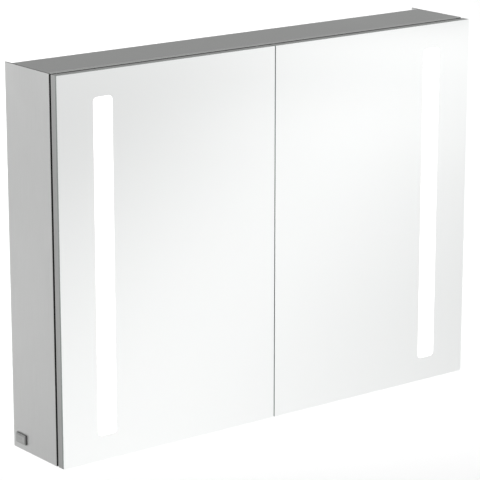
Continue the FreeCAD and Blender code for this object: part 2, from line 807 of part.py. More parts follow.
def carcass_screws():
    """The screws of the hinge plates and of the angle brackets."""
    screws = []
    for side in SIDES:
        for hinge, z in hinge_heights():
            for half in (-1, 1):
                name = f"{side}_{hinge}_plate_screw_{half + 1}"
                height = z + at.plate_screw_rise * half
                seat = LINED + at.plate
                head_x = across(side, seat, seat + at.screw_head_tall)[0]
                shank_x = across(side, LINED - at.screw_bite, seat)[0]
                head = rod(
                    f"{name}_head",
                    at.screw_head,
                    at.screw_head_tall,
                    head_x,
                    -at.plate_screw,
                    height,
                    ALONG_X,
                )
                shank = rod(
                    f"{name}_shank",
                    at.screw_round,
                    at.screw_bite + at.plate,
                    shank_x,
                    -at.plate_screw,
                    height,
                    ALONG_X,
                )
                screws.append(join(name, [head, shank]))
        x = inward(side, at.bracket_inset + at.bracket_wide / 2)
        y = BACK_REAR + at.bracket_hole
        for level in ("top", "bottom"):
            name = f"{side}_{level}_bracket_screw"
            length = at.screw_bite + at.bracket
            if level == "top":
                shank_z = ROOF - at.bracket
                head_z = shank_z - at.screw_head_tall
            else:
                shank_z = FLOOR - at.screw_bite
                head_z = FLOOR + at.bracket
            head = rod(f"{name}_head", at.screw_head, at.screw_head_tall, x, y, head_z)
            shank = rod(f"{name}_shank", at.screw_round, length, x, y, shank_z)
            screws.append(join(name, [head, shank]))
    return keep(group("carcass_screws", screws))


def wall_rail():
    """The rail that is screwed to the wall: a flat strip with an upturned lip along its top."""
    body = new_body("wall_rail", -at.rail_half, 0, 0)
    outline = new_sketch(body, "outline", "YZ_Plane")
    sheet_metal, lip = at.rail_plate, at.rail_lip
    shelf = at.rail_rise + sheet_metal
    points = [
        (0, -at.rail_rise), (0, shelf), (sheet_metal - lip, shelf),
        (sheet_metal - lip, at.rail_rise + at.lip_tall), (-lip, at.rail_rise + at.lip_tall),
        (-lip, at.rail_rise), (-sheet_metal, at.rail_rise), (-sheet_metal, -at.rail_rise),
    ]
    polygon(outline, points)
    pad(body, outline, at.rail_half * 2)
    holes = new_sketch(body, "holes", "XZ_Plane")
    circle(holes, at.rail_half - at.rail_screw, 0, at.rail_hole)
    circle(holes, at.rail_half + at.rail_screw, 0, at.rail_hole)
    pocket(body, holes, sheet_metal)
    return keep(body)


def hangers():
    """Two bent brackets on the back board that hook over the rail's lip."""
    brackets = []
    lip_top = at.rail_rise + at.lip_tall
    for side, sign in (("left", -1), ("right", 1)):
        centre = at.hanger_x * sign
        x = (centre - at.hanger_half, centre + at.hanger_half)
        name = f"{side}_hanger"
        plate = slab(
            f"{name}_plate",
            x,
            (BACK_REAR, BACK_REAR + at.rail_plate),
            (-at.hanger_drop, lip_top + at.rail_plate),
        )
        arm = slab(f"{name}_arm", x, (BACK_REAR, -at.hook_gap), (lip_top, lip_top + at.rail_plate))
        hook = slab(
            f"{name}_hook",
            x,
            (-at.hook_gap - at.rail_plate, -at.hook_gap),
            (lip_top - at.hook_reach + at.rail_plate, lip_top),
        )
        bore = rod(f"{name}_bore", at.adjuster_round, at.rail_plate, centre, -at.adjuster_y, lip_top)
        brackets.append(cut(name, join(f"{name}_bent", [plate, arm, hook]), [bore]))
    return keep(group("hangers", brackets))


def hanger_screws():
    """The two height screws that stand in the hangers."""
    screws = []
    top_of_arm = at.rail_rise + at.lip_tall + at.rail_plate
    for side, sign in (("left", -1), ("right", 1)):
        x = at.hanger_x * sign
        name = f"{side}_height_screw"
        shank_z = top_of_arm - at.adjuster_low
        shank = rod(f"{name}_shank", at.adjuster_round, at.adjuster_low, x, -at.adjuster_y, shank_z)
        head = rod(f"{name}_head", at.adjuster_head, at.adjuster_head_tall, x, -at.adjuster_y, top_of_arm)
        screws.append(join(name, [shank, head]))
    return keep(group("hanger_screws", screws))


def lower_spacers():
    """Two sleeves that keep the cabinet's foot off the wall, bored for a screw each."""
    sleeves = []
    for side, sign in (("left", -1), ("right", 1)):
        x = at.spacer_x * sign
        z = BOTTOM + at.spacer_up
        name = f"{side}_spacer"
        sleeve = rod(f"{name}_sleeve", at.spacer_round, at.back_gap, x, BACK_REAR, z, ALONG_Y)
        bore = rod(f"{name}_bore", at.spacer_hole, at.back_gap, x, BACK_REAR, z, ALONG_Y)
        sleeves.append(cut(name, sleeve, [bore]))
    return keep(group("lower_spacers", sleeves))


# --- electrical pieces -----------------------------------------------------------------------------

def socket_centres():
    """Names and x of the two socket wells."""
    return [("near", at.socket_x - at.socket_pitch / 2), ("far", at.socket_x + at.socket_pitch / 2)]


def socket_housing():
    """The box on the back board that holds two socket inserts, open at the rear for the gland."""
    x = (at.socket_x - at.socket_wide / 2, at.socket_x + at.socket_wide / 2)
    front = BACK_FRONT - at.socket_deep
    box = slab("socket_box", x, (front, BACK_FRONT), (FLOOR, FLOOR + at.socket_tall))
    wells = []
    for name, centre in socket_centres():
        depth = at.well_deep + at.well_floor
        wells.append(rod(f"socket_well_{name}", at.well_round, depth, centre, front, SOCKET_Z, ALONG_Y))
    rest = at.socket_deep - at.well_deep - at.well_floor
    wells.append(
        rod("socket_gland_hole", at.gland_round, rest, at.socket_x, BACK_FRONT - rest, SOCKET_Z, ALONG_Y)
    )
    return keep(cut("socket_housing", box, wells))


def socket_inserts():
    """Two round cups with a pair of contact holes in each floor."""
    front = BACK_FRONT - at.socket_deep
    inserts = []
    for name, centre in socket_centres():
        depth = at.well_deep + at.well_floor
        cup = rod(f"insert_{name}_blank", at.well_round, depth, centre, front, SOCKET_Z, ALONG_Y)
        hollow_round = at.well_round - at.well_wall
        tools = [
            rod(f"insert_{name}_hollow", hollow_round, at.well_deep, centre, front, SOCKET_Z, ALONG_Y)
        ]
        for half in (-1, 1):
            x = centre + at.well_slot_pitch / 2 * half
            tools.append(
                rod(f"insert_{name}_slot_{half + 1}", at.well_slot, depth, x, front, SOCKET_Z, ALONG_Y)
            )
        inserts.append(cut(f"insert_{name}", cup, tools))
    return keep(group("socket_inserts", inserts))


def cable_gland():
    """The mains inlet: a neck through the back board, a six-sided nut and a domed cap."""
    rest = at.socket_deep - at.well_deep - at.well_floor
    start = BACK_FRONT - rest
    neck = rod("gland_neck", at.gland_round, rest + at.back, at.socket_x, start, SOCKET_Z, ALONG_Y)
    nut = doc.addObject("Part::Prism", "gland_hex")
    nut.Polygon = 6
    bind(nut, Circumradius=at.gland_nut, Height=at.gland_nut_tall)
    place(nut, at.socket_x, BACK_REAR, SOCKET_Z, ALONG_Y)
    dome = doc.addObject("Part::Cone", "gland_cap")
    bind(dome, Radius1=at.gland_dome, Radius2=at.gland_tip, Height=at.gland_dome_tall)
    place(dome, at.socket_x, BACK_REAR + at.gland_nut_tall, SOCKET_Z, ALONG_Y)
    length = rest + at.back + at.gland_nut_tall + at.gland_dome_tall
    bore = rod("gland_bore", at.gland_bore, length, at.socket_x, start, SOCKET_Z, ALONG_Y)
    return keep(cut("cable_gland", join("gland_blank", [neck, nut, dome]), [bore]))


def lead_grommets():
    """Two rubber rings in the back board, where the leads to the doors' lamps come through."""
    rings = []
    z = BOTTOM + at.grommet_up
    for side in SIDES:
        x = inward(side, at.grommet_inset)
        name = f"{side}_grommet"
        neck = rod(f"{name}_neck", at.grommet_neck, at.back, x, BACK_FRONT, z, ALONG_Y)
        front = rod(
            f"{name}_front", at.grommet_flange, at.grommet_lip, x, BACK_FRONT - at.grommet_lip, z, ALONG_Y
        )
        rear = rod(f"{name}_rear", at.grommet_flange, at.grommet_lip, x, BACK_REAR, z, ALONG_Y)
        length = at.back + at.grommet_lip * 2
        bore = rod(f"{name}_bore", at.grommet_bore, length, x, BACK_FRONT - at.grommet_lip, z, ALONG_Y)
        rings.append(cut(name, join(f"{name}_ring", [neck, front, rear]), [bore]))
    return keep(group("lead_grommets", rings))


def led_driver():
    """The lamps' power supply, a rounded box on the rear of the back board."""
    body = new_body(
        "led_driver",
        -at.driver_x - at.driver_wide / 2,
        BACK_REAR + at.driver_deep,
        BOTTOM + at.driver_up,
    )
    outline = new_sketch(body, "outline", "XZ_Plane")
    rounded(outline, 0, 0, at.driver_wide, at.driver_tall, at.driver_round)
    pad(body, outline, at.driver_deep)
    return keep(body)


def switch_housing():
    """The switch's frame: a raised bezel outside the side panel and a blind case inside it."""
    outside = -HALF
    y = -at.switch_y
    z = BOTTOM + at.switch_up
    body = new_body("switch_housing", outside, y - at.bezel_long / 2, z - at.bezel_tall / 2)
    bezel = new_sketch(body, "bezel", "YZ_Plane", -at.bezel_proud)
    rounded(bezel, 0, 0, at.bezel_long, at.bezel_tall, at.bezel_round)
    pad(body, bezel, at.bezel_proud)
    case = new_sketch(body, "case", "YZ_Plane")
    rectangle(
        case,
        at.bezel_long / 2 - at.body_long / 2,
        at.bezel_tall / 2 - at.body_tall / 2,
        at.body_long,
        at.body_tall,
    )
    pad(body, case, at.body_deep)
    well = new_sketch(body, "well", "YZ_Plane", -at.bezel_proud)
    wide = at.cap_long + at.cap_play * 2
    tall = at.cap_tall + at.cap_play * 2
    rectangle(well, at.bezel_long / 2 - wide / 2, at.bezel_tall / 2 - tall / 2, wide, tall)
    pocket(body, well, at.bezel_proud + at.cap_deep)
    return keep(body)


def switch_button():
    """The push button that stands a little out of the bezel."""
    y = -at.switch_y - at.cap_long / 2
    z = BOTTOM + at.switch_up - at.cap_tall / 2
    body = new_body("switch_button", -HALF - at.cap_proud, y, z)
    outline = new_sketch(body, "outline", "YZ_Plane")
    rounded(outline, 0, 0, at.cap_long, at.cap_tall, at.cap_round)
    pad(body, outline, at.cap_proud + at.cap_deep - at.cap_room)
    return keep(body)


# --- build, check and write --------------------------------------------------------------------------


def build():
    """Make every sub-part."""
    for side in SIDES:
        side_panel(side)
        side_liner(side)
        door(side)
    panels()
    back_panel()
    partition()
    seals()
    shelves()
    shelf_pegs()
    hinge_fixed_halves()
    angle_brackets()
    carcass_screws()
    wall_rail()
    hangers()
    hanger_screws()
    lower_spacers()
    socket_housing()
    socket_inserts()
    cable_gland()
    lead_grommets()
    led_driver()
    switch_housing()
    switch_button()
    doc.recompute()


def check():
    """Stop if any object failed, or any sub-part is empty or not valid."""
    for thing in doc.Objects:
        if "Invalid" in thing.State or "Error" in thing.State:
            raise RuntimeError(f"{thing.Name} failed: {thing.State}")
    for part in subparts:
        if part.Shape.isNull() or not part.Shape.isValid() or not part.Shape.Solids:
            raise RuntimeError(f"{part.Label} has no valid solid")
        if part.Label != part.Name:
            raise RuntimeError(f"{part.Name} is labelled {part.Label}")


def write():
    """Write each sub-part to a STEP file named after its label."""
    os.makedirs("parts", exist_ok=True)
    for part in subparts:
        part.Shape.exportStep(f"parts/{part.Label}.step")
        print(f"{part.Label}: {len(part.Shape.Solids)} solids, {part.Shape.Volume / 1000:.1f} cm3")


build()
check()
write()
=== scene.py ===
# %% [markdown]
# # A lit mirror cabinet with two doors
# The cabinet hangs on a wall rail. Its case is satin aluminium, its doors are mirrors with a
# frosted, lit window each, and inside are white walls and glass shelves. The engineering model
# gives every piece its place, so this script reads positions from it and only makes surfaces.
# The x axis runs to the right along the doors, y runs into the wall and z runs up.

# %% Load the fixed model and note its size
import math

import bmesh
import bpy
import numpy as np
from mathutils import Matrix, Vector


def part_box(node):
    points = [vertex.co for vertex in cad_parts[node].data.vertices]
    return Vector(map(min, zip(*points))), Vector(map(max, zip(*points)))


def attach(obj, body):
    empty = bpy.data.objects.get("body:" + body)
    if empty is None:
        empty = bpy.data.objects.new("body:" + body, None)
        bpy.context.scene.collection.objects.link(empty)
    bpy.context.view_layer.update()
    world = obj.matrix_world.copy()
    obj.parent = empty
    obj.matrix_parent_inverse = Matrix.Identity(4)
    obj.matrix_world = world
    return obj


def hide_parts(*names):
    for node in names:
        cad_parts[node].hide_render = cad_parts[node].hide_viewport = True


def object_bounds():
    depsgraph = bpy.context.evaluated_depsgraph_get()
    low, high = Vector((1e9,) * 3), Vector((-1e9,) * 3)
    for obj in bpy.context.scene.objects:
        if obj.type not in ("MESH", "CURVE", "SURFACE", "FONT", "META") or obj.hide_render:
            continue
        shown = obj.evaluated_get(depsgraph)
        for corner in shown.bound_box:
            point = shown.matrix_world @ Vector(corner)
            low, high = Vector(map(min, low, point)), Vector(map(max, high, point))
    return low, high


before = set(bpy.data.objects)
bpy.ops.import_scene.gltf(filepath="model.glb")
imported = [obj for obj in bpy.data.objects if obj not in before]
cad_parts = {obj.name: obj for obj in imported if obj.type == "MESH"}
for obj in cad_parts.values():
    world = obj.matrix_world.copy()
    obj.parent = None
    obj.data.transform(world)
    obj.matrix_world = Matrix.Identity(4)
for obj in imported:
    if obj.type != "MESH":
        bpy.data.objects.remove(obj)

cad_low, cad_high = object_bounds()
print("model box in metres", [round(v, 4) for v in (*cad_low, *cad_high)])

# %% [markdown]
# ## Camera
# Products like this are shot with a long lens from the front left and a little above, so that
# the deep side, the top and both mirrors show. A long lens keeps the uprights nearly parallel.

# %% Camera
LENS = 182.94
SENSOR = 36.0
CAMERA_AT = Vector((-2.8484, -3.7901, 0.8929))
LOOK_TURN = math.radians(37.375)
LOOK_DOWN = math.radians(14.818)

camera_data = bpy.data.cameras.new("camera")
camera_data.lens = LENS
camera_data.sensor_width = SENSOR
camera = bpy.data.objects.new("camera", camera_data)
camera.location = CAMERA_AT
camera.rotation_euler = (math.pi / 2 - LOOK_DOWN, 0, -LOOK_TURN)
bpy.context.scene.collection.objects.link(camera)
bpy.context.scene.camera = camera
bpy.context.scene.view_settings.view_transform = "Standard"
print("camera", round((CAMERA_AT - (cad_low + cad_high) / 2).length, 2), "m from the cabinet")

# %% [markdown]
# ## Helpers for node nets
# The floor, the sky and every finish are nets of nodes. One helper makes a node with its settings
# and the other joins two sockets, so each net further down reads like a list of wires.


# %% Node helpers
def node_of(tree, kind, **settings):
    """A new node in a tree, with attributes and input values set."""
    node = tree.nodes.new(kind)
    for key, value in settings.items():
        if key in node.inputs:
            node.inputs[key].default_value = value
        else:
            setattr(node, key, value)
    return node


def link(tree, source, target):
    """Join an output socket to an input socket."""
    tree.links.new(source, target)


# %% [markdown]
# ## Floor
# A mirror shows the room, so the room is part of its look. The floor is one large square, painted
# a pale matte white. It lies well below the cabinet, which hangs free as if on a clear wall.

# %% Floor
FLOOR_DROP = 0.36
FLOOR_HALF = 30.0
FLOOR_PAINT = {"Base Color": (0.9, 0.9, 0.9, 1), "Roughness": 0.9, "Specular IOR Level": 0.1}
floor_z = cad_low.z - FLOOR_DROP
floor_mesh = bpy.data.meshes.new("floor")
corners = np.array([(-1, -1), (1, -1), (1, 1), (-1, 1)]) * FLOOR_HALF
floor_mesh.from_pydata([(x, y, floor_z) for x, y in corners], [], [(0, 1, 2, 3)])
floor = bpy.data.objects.new("floor", floor_mesh)
bpy.context.scene.collection.objects.link(floor)
floor_paint = bpy.data.materials.new("floor_paint")
floor_paint.use_nodes = True
for label, value in FLOOR_PAINT.items():
    floor_paint.node_tree.nodes["Principled BSDF"].inputs[label].default_value = value
floor_mesh.materials.append(floor_paint)
print("floor at height", round(floor_z, 3))

# %% [markdown]
# ## Sky
# A studio isn't equally bright all round. The sky is a pale dome with one grey flag low at the
# rear right. The top sheet mirrors that part at a flat angle and takes its darker tone from it.
# The flag's edge is soft: its shade follows the angle between a direction and its middle.

# %% Sky: a pale dome with a grey flag
SKY_STRENGTH = 0.885
FLAG_TOWARDS = (0.589, 0.767, 0.255)
FLAG_EDGE = math.cos(math.radians(50))
FLAG_HEART = math.cos(math.radians(14))
FLAG_SHADE = (0.56, 0.564, 0.56, 1)
world = bpy.data.worlds.new("studio")
world.use_nodes = True
bpy.context.scene.world = world
sky = world.node_tree
direction = node_of(sky, "ShaderNodeTexCoord")
facing = node_of(sky, "ShaderNodeVectorMath", operation="DOT_PRODUCT")
facing.inputs[1].default_value = FLAG_TOWARDS
flag = node_of(sky, "ShaderNodeMapRange", interpolation_type="SMOOTHSTEP")
flag.inputs["From Min"].default_value = FLAG_EDGE
flag.inputs["From Max"].default_value = FLAG_HEART
shades = node_of(sky, "ShaderNodeValToRGB")
shades.color_ramp.elements[0].color = (1.0, 1.0, 1.0, 1)
shades.color_ramp.elements[1].color = FLAG_SHADE
link(sky, direction.outputs["Generated"], facing.inputs[0])
link(sky, facing.outputs["Value"], flag.inputs[0])
link(sky, flag.outputs[0], shades.inputs[0])
link(sky, shades.outputs[0], sky.nodes["Background"].inputs["Color"])
sky.nodes["Background"].inputs["Strength"].default_value = SKY_STRENGTH

# %% [markdown]
# ## Lamps
# Three lamps look straight down at the floor, which the mirrors then show as a gentle gradient.
# The rear lamp keeps the background white. The band lamp is long and narrow, with a grid over it
# that holds its light in a soft diagonal band, and the far lamp lifts the distance. The fourth
# lamp brushes the left side sheet.


# %% Lamps
def lamp(name, place, target, wide, deep, power, spin=0.0, spread=math.pi):
    """A rectangular soft lamp that looks at a point. A spread below a half turn acts like a grid."""
    data = bpy.data.lights.new(name, "AREA")
    data.shape = "RECTANGLE"
    data.size = wide
    data.size_y = deep
    data.energy = power
    data.spread = spread
    shining = bpy.data.objects.new(name, data)
    aim = Vector(target) - Vector(place)
    shining.rotation_euler = aim.to_track_quat("-Z", "Y").to_euler()
    shining.rotation_euler.rotate_axis("Z", spin)
    shining.location = place
    bpy.context.scene.collection.objects.link(shining)
    return shining


def lamp_above(name, x, y, rise, wide, deep, power, spin=0.0, spread=180.0):
    """A lamp that hangs above a point of the floor and looks straight down. Angles in degrees."""
    place, target = (x, y, floor_z + rise), (x, y, floor_z)
    return lamp(name, place, target, wide, deep, power, math.radians(spin), math.radians(spread))


lamp_above("rear_lamp", 2.0, 4.3, rise=3.4, wide=8.5, deep=4.3, power=66, spin=52, spread=55)
lamp_above("band_lamp", 1.46, -2.14, rise=2.4, wide=5.4, deep=0.4, power=5.6, spin=-41, spread=51)
lamp_above("far_lamp", 4.3, -4.5, rise=1.1, wide=1.5, deep=1.5, power=6.2)
lamp("side_lamp", (-2.6, 2.6, floor_z + 0.9), target=(-0.5, 0.0, -0.2), wide=1.8, deep=0.9, power=3.6)
print("lamps", [light.name for light in bpy.data.lights])

# %% [markdown]
# ## Surfaces from rings of points
# Almost every piece here is a stack of closed outlines. A row of such rings, joined by four-sided
# faces, makes a wall. Closing the first and last ring with a flat face makes a plate or a bar,
# and joining the last ring to the first makes a frame with a hole through it.


# %% Rings to a mesh
def skin(rings, wrap=False):
    """Vertices and faces of a surface through rings.

    rings has the shape (ring, point, 3). Point k of ring i meets point k + 1 of the same ring and
    point k of ring i + 1. With wrap the last ring meets the first; without it both ends are closed
    by one flat face each.
    """
    count, around = rings.shape[:2]
    steps = count if wrap else count - 1
    i, k = np.meshgrid(np.arange(steps), np.arange(around), indexing="ij")
    right = (k + 1) % around
    above = (i + 1) % count
    quads = np.stack((i * around + k, i * around + right, above * around + right, above * around + k), -1)
    faces = quads.reshape(-1, 4).tolist()
    if not wrap:
        faces.append(list(range(around))[::-1])
        faces.append(list(range((count - 1) * around, count * around)))
    return rings.reshape(-1, 3), faces


def merged(parts):
    """Vertices and faces of several surfaces as one."""
    vertices, faces, start = [], [], 0
    for points, polygons in parts:
        vertices.append(points)
        faces += [[index + start for index in polygon] for polygon in polygons]
        start += len(points)
    return np.concatenate(vertices), faces


# %% [markdown]
# ## Soft shading
# Shading blends the directions of the faces that meet at a corner. Weighting each face by its
# area keeps a big flat face flat right up to its edge, and only the narrow round shows a
# gradient. Faces that turn by more than a sharp angle keep a crisp line between them.

# %% Soft shading
SHARP_ANGLE = math.radians(32)


def shade(mesh):
    """Corner normals: the area-weighted mean of the faces round a vertex.

    Only faces that turn by less than SHARP_ANGLE from the corner's own face count.
    """
    corners = len(mesh.loops)
    vertex = np.zeros(corners, int)
    mesh.loops.foreach_get("vertex_index", vertex)
    total, area = np.zeros(len(mesh.polygons), int), np.zeros(len(mesh.polygons))
    normal = np.zeros(len(mesh.polygons) * 3)
    mesh.polygons.foreach_get("loop_total", total)
    mesh.polygons.foreach_get("area", area)
    mesh.polygons.foreach_get("normal", normal)
    face = np.repeat(np.arange(len(total)), total)
    order = np.argsort(vertex, kind="stable")
    vertex, face = vertex[order], face[order]
    normal = normal.reshape(-1, 3)[face]
    weighted = normal * area[face][:, None]
    mean = weighted.copy()
    for step in range(1, int(np.bincount(vertex).max())):
        near = (vertex[step:] == vertex[:-step]) & (
            (normal[step:] * normal[:-step]).sum(1) > math.cos(SHARP_ANGLE))
        mean[:-step][near] += weighted[step:][near]
        mean[step:][near] += weighted[:-step][near]
    mean /= np.linalg.norm(mean, axis=1, keepdims=True)
    back = np.zeros_like(mean)
    back[order] = mean
    mesh.polygons.foreach_set("use_smooth", np.ones(len(mesh.polygons), bool))
    mesh.normals_split_custom_set(back.tolist())


# %% [markdown]
# ## From a surface to a piece
# A piece needs outward faces, soft shading, a material and a body to ride on, so that it moves
# with its door or switch. Where it stands in for a node of the model, it replaces that node.

# %% Pieces
made_pieces = []


def piece(name, surface, material, body, replaces=()):
    """A finished object from a surface: outward faces, soft shading, its material and its body."""
    points, faces = surface
    mesh = bpy.data.meshes.new(name)
    mesh.from_pydata(np.asarray(points).tolist(), [], faces)
    work = bmesh.new()
    work.from_mesh(mesh)
    bmesh.ops.recalc_face_normals(work, faces=work.faces)
    work.to_mesh(mesh)
    work.free()
    shade(mesh)
    mesh.materials.append(material)
    made = bpy.data.objects.new(name, mesh)
    bpy.context.scene.collection.objects.link(made)
    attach(made, body)
    if replaces:
        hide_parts(*replaces)
    made_pieces.append(made)
    return made


# %% [markdown]
# ## Outlines and edges
# Sawn and moulded parts never have razor edges, and the small round along an edge is what catches
# the light. `soften` puts an arc in each corner of an outline, and `edge_rings` pulls the outline
# in by a quarter circle at both ends of a plate, so that all its edges are round as well.


# %% Softened outlines
def soften(corners, radius, steps=5):
    """An outline whose corners are arcs.

    At a corner with half angle h between its two sides, the arc touches each side radius / tan(h)
    from the corner, and its centre lies on the bisector, radius / sin(h) away.
    """
    corner = np.asarray(corners, float)
    back = np.roll(corner, 1, 0) - corner
    ahead = np.roll(corner, -1, 0) - corner
    back /= np.linalg.norm(back, axis=1, keepdims=True)
    ahead /= np.linalg.norm(ahead, axis=1, keepdims=True)
    half = np.arccos(np.clip((back * ahead).sum(1), -1, 1))[:, None] / 2
    bisector = back + ahead
    bisector /= np.linalg.norm(bisector, axis=1, keepdims=True)
    radius = np.broadcast_to(np.asarray(radius, float).reshape(-1, 1), half.shape)
    centre = corner + bisector * radius / np.sin(half)
    first = (corner + back * radius / np.tan(half) - centre) / radius
    last = (corner + ahead * radius / np.tan(half) - centre) / radius
    sweep = np.pi - 2 * half
    side = last - first * np.cos(sweep)
    side /= np.linalg.norm(side, axis=1, keepdims=True)
    share = np.linspace(0, 1, steps + 1)[None, :, None]
    angle = sweep[:, None] * share
    arc = centre[:, None] + radius[:, None] * (np.cos(angle) * first[:, None] + np.sin(angle) * side[:, None])
    return arc.reshape(-1, 2)


def box_corners(low, high):
    """Four corners of a rectangle, anticlockwise."""
    return [(low[0], low[1]), (high[0], low[1]), (high[0], high[1]), (low[0], high[1])]


def pulled_in(outline, distance):
    """The outline moved inwards by a distance, along the normal at each point."""
    ahead = np.roll(outline, -1, 0) - outline
    back = outline - np.roll(outline, 1, 0)
    ahead /= np.linalg.norm(ahead, axis=1, keepdims=True)
    back /= np.linalg.norm(back, axis=1, keepdims=True)
    along = ahead + back
    along /= np.linalg.norm(along, axis=1, keepdims=True)
    cosine = (along * ahead).sum(1, keepdims=True)
    inward = np.stack((-along[:, 1], along[:, 0]), 1)
    area = np.sum(outline[:, 0] * np.roll(outline[:, 1], -1) - outline[:, 1] * np.roll(outline[:, 0], -1))
    return outline + inward * distance * np.sign(area) / np.maximum(cosine, 0.5)


# %% [markdown]
# An outline is flat, with two numbers per point. To use it, it has to stand in space at a level
# along one axis. A run of such rings, each pulled in a little more near the ends, makes a wall
# with rounded edges.

# %% Rings in space
PLANE_OF = {"x": (1, 2, 0), "y": (0, 2, 1), "z": (0, 1, 2)}


def to_space(outline, level, axis):
    """A flat outline as points in space, at a level along an axis."""
    first, second, third = PLANE_OF[axis]
    points = np.zeros((len(outline), 3))
    points[:, first] = outline[:, 0]
    points[:, second] = outline[:, 1]
    points[:, third] = level
    return points


def edge_rings(outline, low, high, axis, edge, steps=3, side=1):
    """Rings from low to high: the outline pulled in by edge (1 - sin a) at each end, a from 0 to 90.

    Side is 1 for an outer wall, and -1 for the wall of a hole, whose rings widen at the ends.
    """
    turn = np.linspace(0, np.pi / 2, steps + 1)
    inset = side * edge * (1 - np.sin(turn))
    rise = edge * (1 - np.cos(turn))
    levels = np.concatenate((low + rise, (high - rise)[::-1]))
    insets = np.concatenate((inset, inset[::-1]))
    return np.array([to_space(pulled_in(outline, d), z, axis) for d, z in zip(insets, levels)])


# %% [markdown]
# Four shapes cover nearly everything in a cabinet: a solid between two levels, a plate with a
# hole, a plate that fills the box of a node, and a shape turned on a lathe.


# %% Prisms, pierced plates and turned shapes
def prism(outline, low, high, axis, edge=0.0005):
    """A solid between two levels with a softened edge at both ends."""
    return skin(edge_rings(outline, low, high, axis, edge))


def pierced(outer, inner, low, high, axis, edge=0.0005):
    """A plate with one opening. Both outlines have the same number of points, in the same order."""
    outside = edge_rings(outer, low, high, axis, edge)
    inside = edge_rings(inner, low, high, axis, edge, side=-1)[::-1]
    return skin(np.concatenate((outside, inside)), wrap=True)


def plate(node, axis, radius=0.0008, edge=0.0005):
    """A softened plate that fills the box of a node."""
    low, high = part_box(node)
    first, second, third = PLANE_OF[axis]
    corners = box_corners((low[first], low[second]), (high[first], high[second]))
    return prism(soften(corners, radius, 3), low[third], high[third], axis, edge)


def turned(profile, centre, axis, sides=48, wrap=False):
    """A turned shape: each profile point (radius, level) goes round the axis in a circle."""
    angle = np.linspace(0, 2 * np.pi, sides, endpoint=False)
    circle = np.column_stack((np.cos(angle), np.sin(angle)))
    first, second, _ = PLANE_OF[axis]
    middle = np.array((centre[first], centre[second]))
    rings = [to_space(middle + circle * radius, level, axis) for radius, level in profile]
    return skin(np.array(rings), wrap)


# %% [markdown]
# ## Effects that several materials share
# Node groups hold what repeats: a satin grain of fine lines, slow changes of tone across a sheet,
# and the faint marks that hands and cleaning leave. Each group only puts out values and colours,
# and each material decides what to do with them.


# %% Group helper
def new_group(name, inputs, outputs):
    """An empty shader node group with named sockets: (tree, input node, output node)."""
    tree = bpy.data.node_groups.new(name, "ShaderNodeTree")
    for label, kind, value in inputs:
        socket = tree.interface.new_socket(label, in_out="INPUT", socket_type=kind)
        socket.default_value = value
    for label, kind in outputs:
        tree.interface.new_socket(label, in_out="OUTPUT", socket_type=kind)
    return tree, tree.nodes.new("NodeGroupInput"), tree.nodes.new("NodeGroupOutput")


FLOAT, COLOUR, VECTOR = "NodeSocketFloat", "NodeSocketColor", "NodeSocketVector"


# %% [markdown]
# Rolled and brushed metal has fine lines in one direction. Noise gives them when its coordinates
# are squeezed hard across the lines and hardly at all along them.


# %% Satin grain
GRAIN_CONTRAST = 0.06


def make_grain():
    """Noise on Object coordinates times Stretch, so lines run along the axis with the small value."""
    tree, source, target = new_group(
        "satin_grain",
        [("Stretch", VECTOR, (900.0, 900.0, 20.0)), ("Strength", FLOAT, 1.0)],
        [("Value", FLOAT), ("Shade", FLOAT)],
    )
    place = node_of(tree, "ShaderNodeTexCoord")
    scaled = node_of(tree, "ShaderNodeVectorMath", operation="MULTIPLY")
    noise = node_of(tree, "ShaderNodeTexNoise", Scale=1.0, Detail=3.0, Roughness=0.6)
    value = node_of(tree, "ShaderNodeMath", operation="MULTIPLY_ADD")
    value.inputs[2].default_value = 0.0
    shade = node_of(tree, "ShaderNodeMapRange")
    shade.inputs["To Min"].default_value = 1 - GRAIN_CONTRAST
    shade.inputs["To Max"].default_value = 1 + GRAIN_CONTRAST
    link(tree, place.outputs["Object"], scaled.inputs[0])
    link(tree, source.outputs["Stretch"], scaled.inputs[1])
    link(tree, scaled.outputs[0], noise.inputs["Vector"])
    link(tree, noise.outputs[0], value.inputs[0])
    link(tree, source.outputs["Strength"], value.inputs[1])
    link(tree, noise.outputs[0], shade.inputs[0])
    link(tree, value.outputs[0], target.inputs["Value"])
    link(tree, shade.outputs[0], target.inputs["Shade"])
    return tree


# %% [markdown]
# No sheet has quite the same colour all over. Large soft clouds of noise mix two close colours.


# %% Slow tone
def make_tone():
    """Colour A and colour B mixed by smooth noise about Size metres across."""
    tree, source, target = new_group(
        "slow_tone",
        [("Colour A", COLOUR, (0.5, 0.5, 0.5, 1)), ("Colour B", COLOUR, (0.6, 0.6, 0.6, 1)),
         ("Scale", FLOAT, 3.0), ("Shade", FLOAT, 1.0)],
        [("Colour", COLOUR)],
    )
    place = node_of(tree, "ShaderNodeTexCoord")
    noise = node_of(tree, "ShaderNodeTexNoise", Detail=2.0, Roughness=0.4)
    mix = node_of(tree, "ShaderNodeMix", data_type="RGBA")
    shade = node_of(tree, "ShaderNodeVectorMath", operation="SCALE")
    link(tree, place.outputs["Object"], noise.inputs["Vector"])
    link(tree, source.outputs["Scale"], noise.inputs["Scale"])
    link(tree, noise.outputs[0], mix.inputs[0])
    link(tree, source.outputs["Colour A"], mix.inputs[6])
    link(tree, source.outputs["Colour B"], mix.inputs[7])
    link(tree, mix.outputs[2], shade.inputs[0])
    link(tree, source.outputs["Shade"], shade.inputs["Scale"])
    link(tree, shade.outputs[0], target.inputs["Colour"])
    return tree


# %% [markdown]
# Fingers and cloths dull the gloss in patches. Noise with a soft threshold gives a few such
# patches and leaves the rest alone.


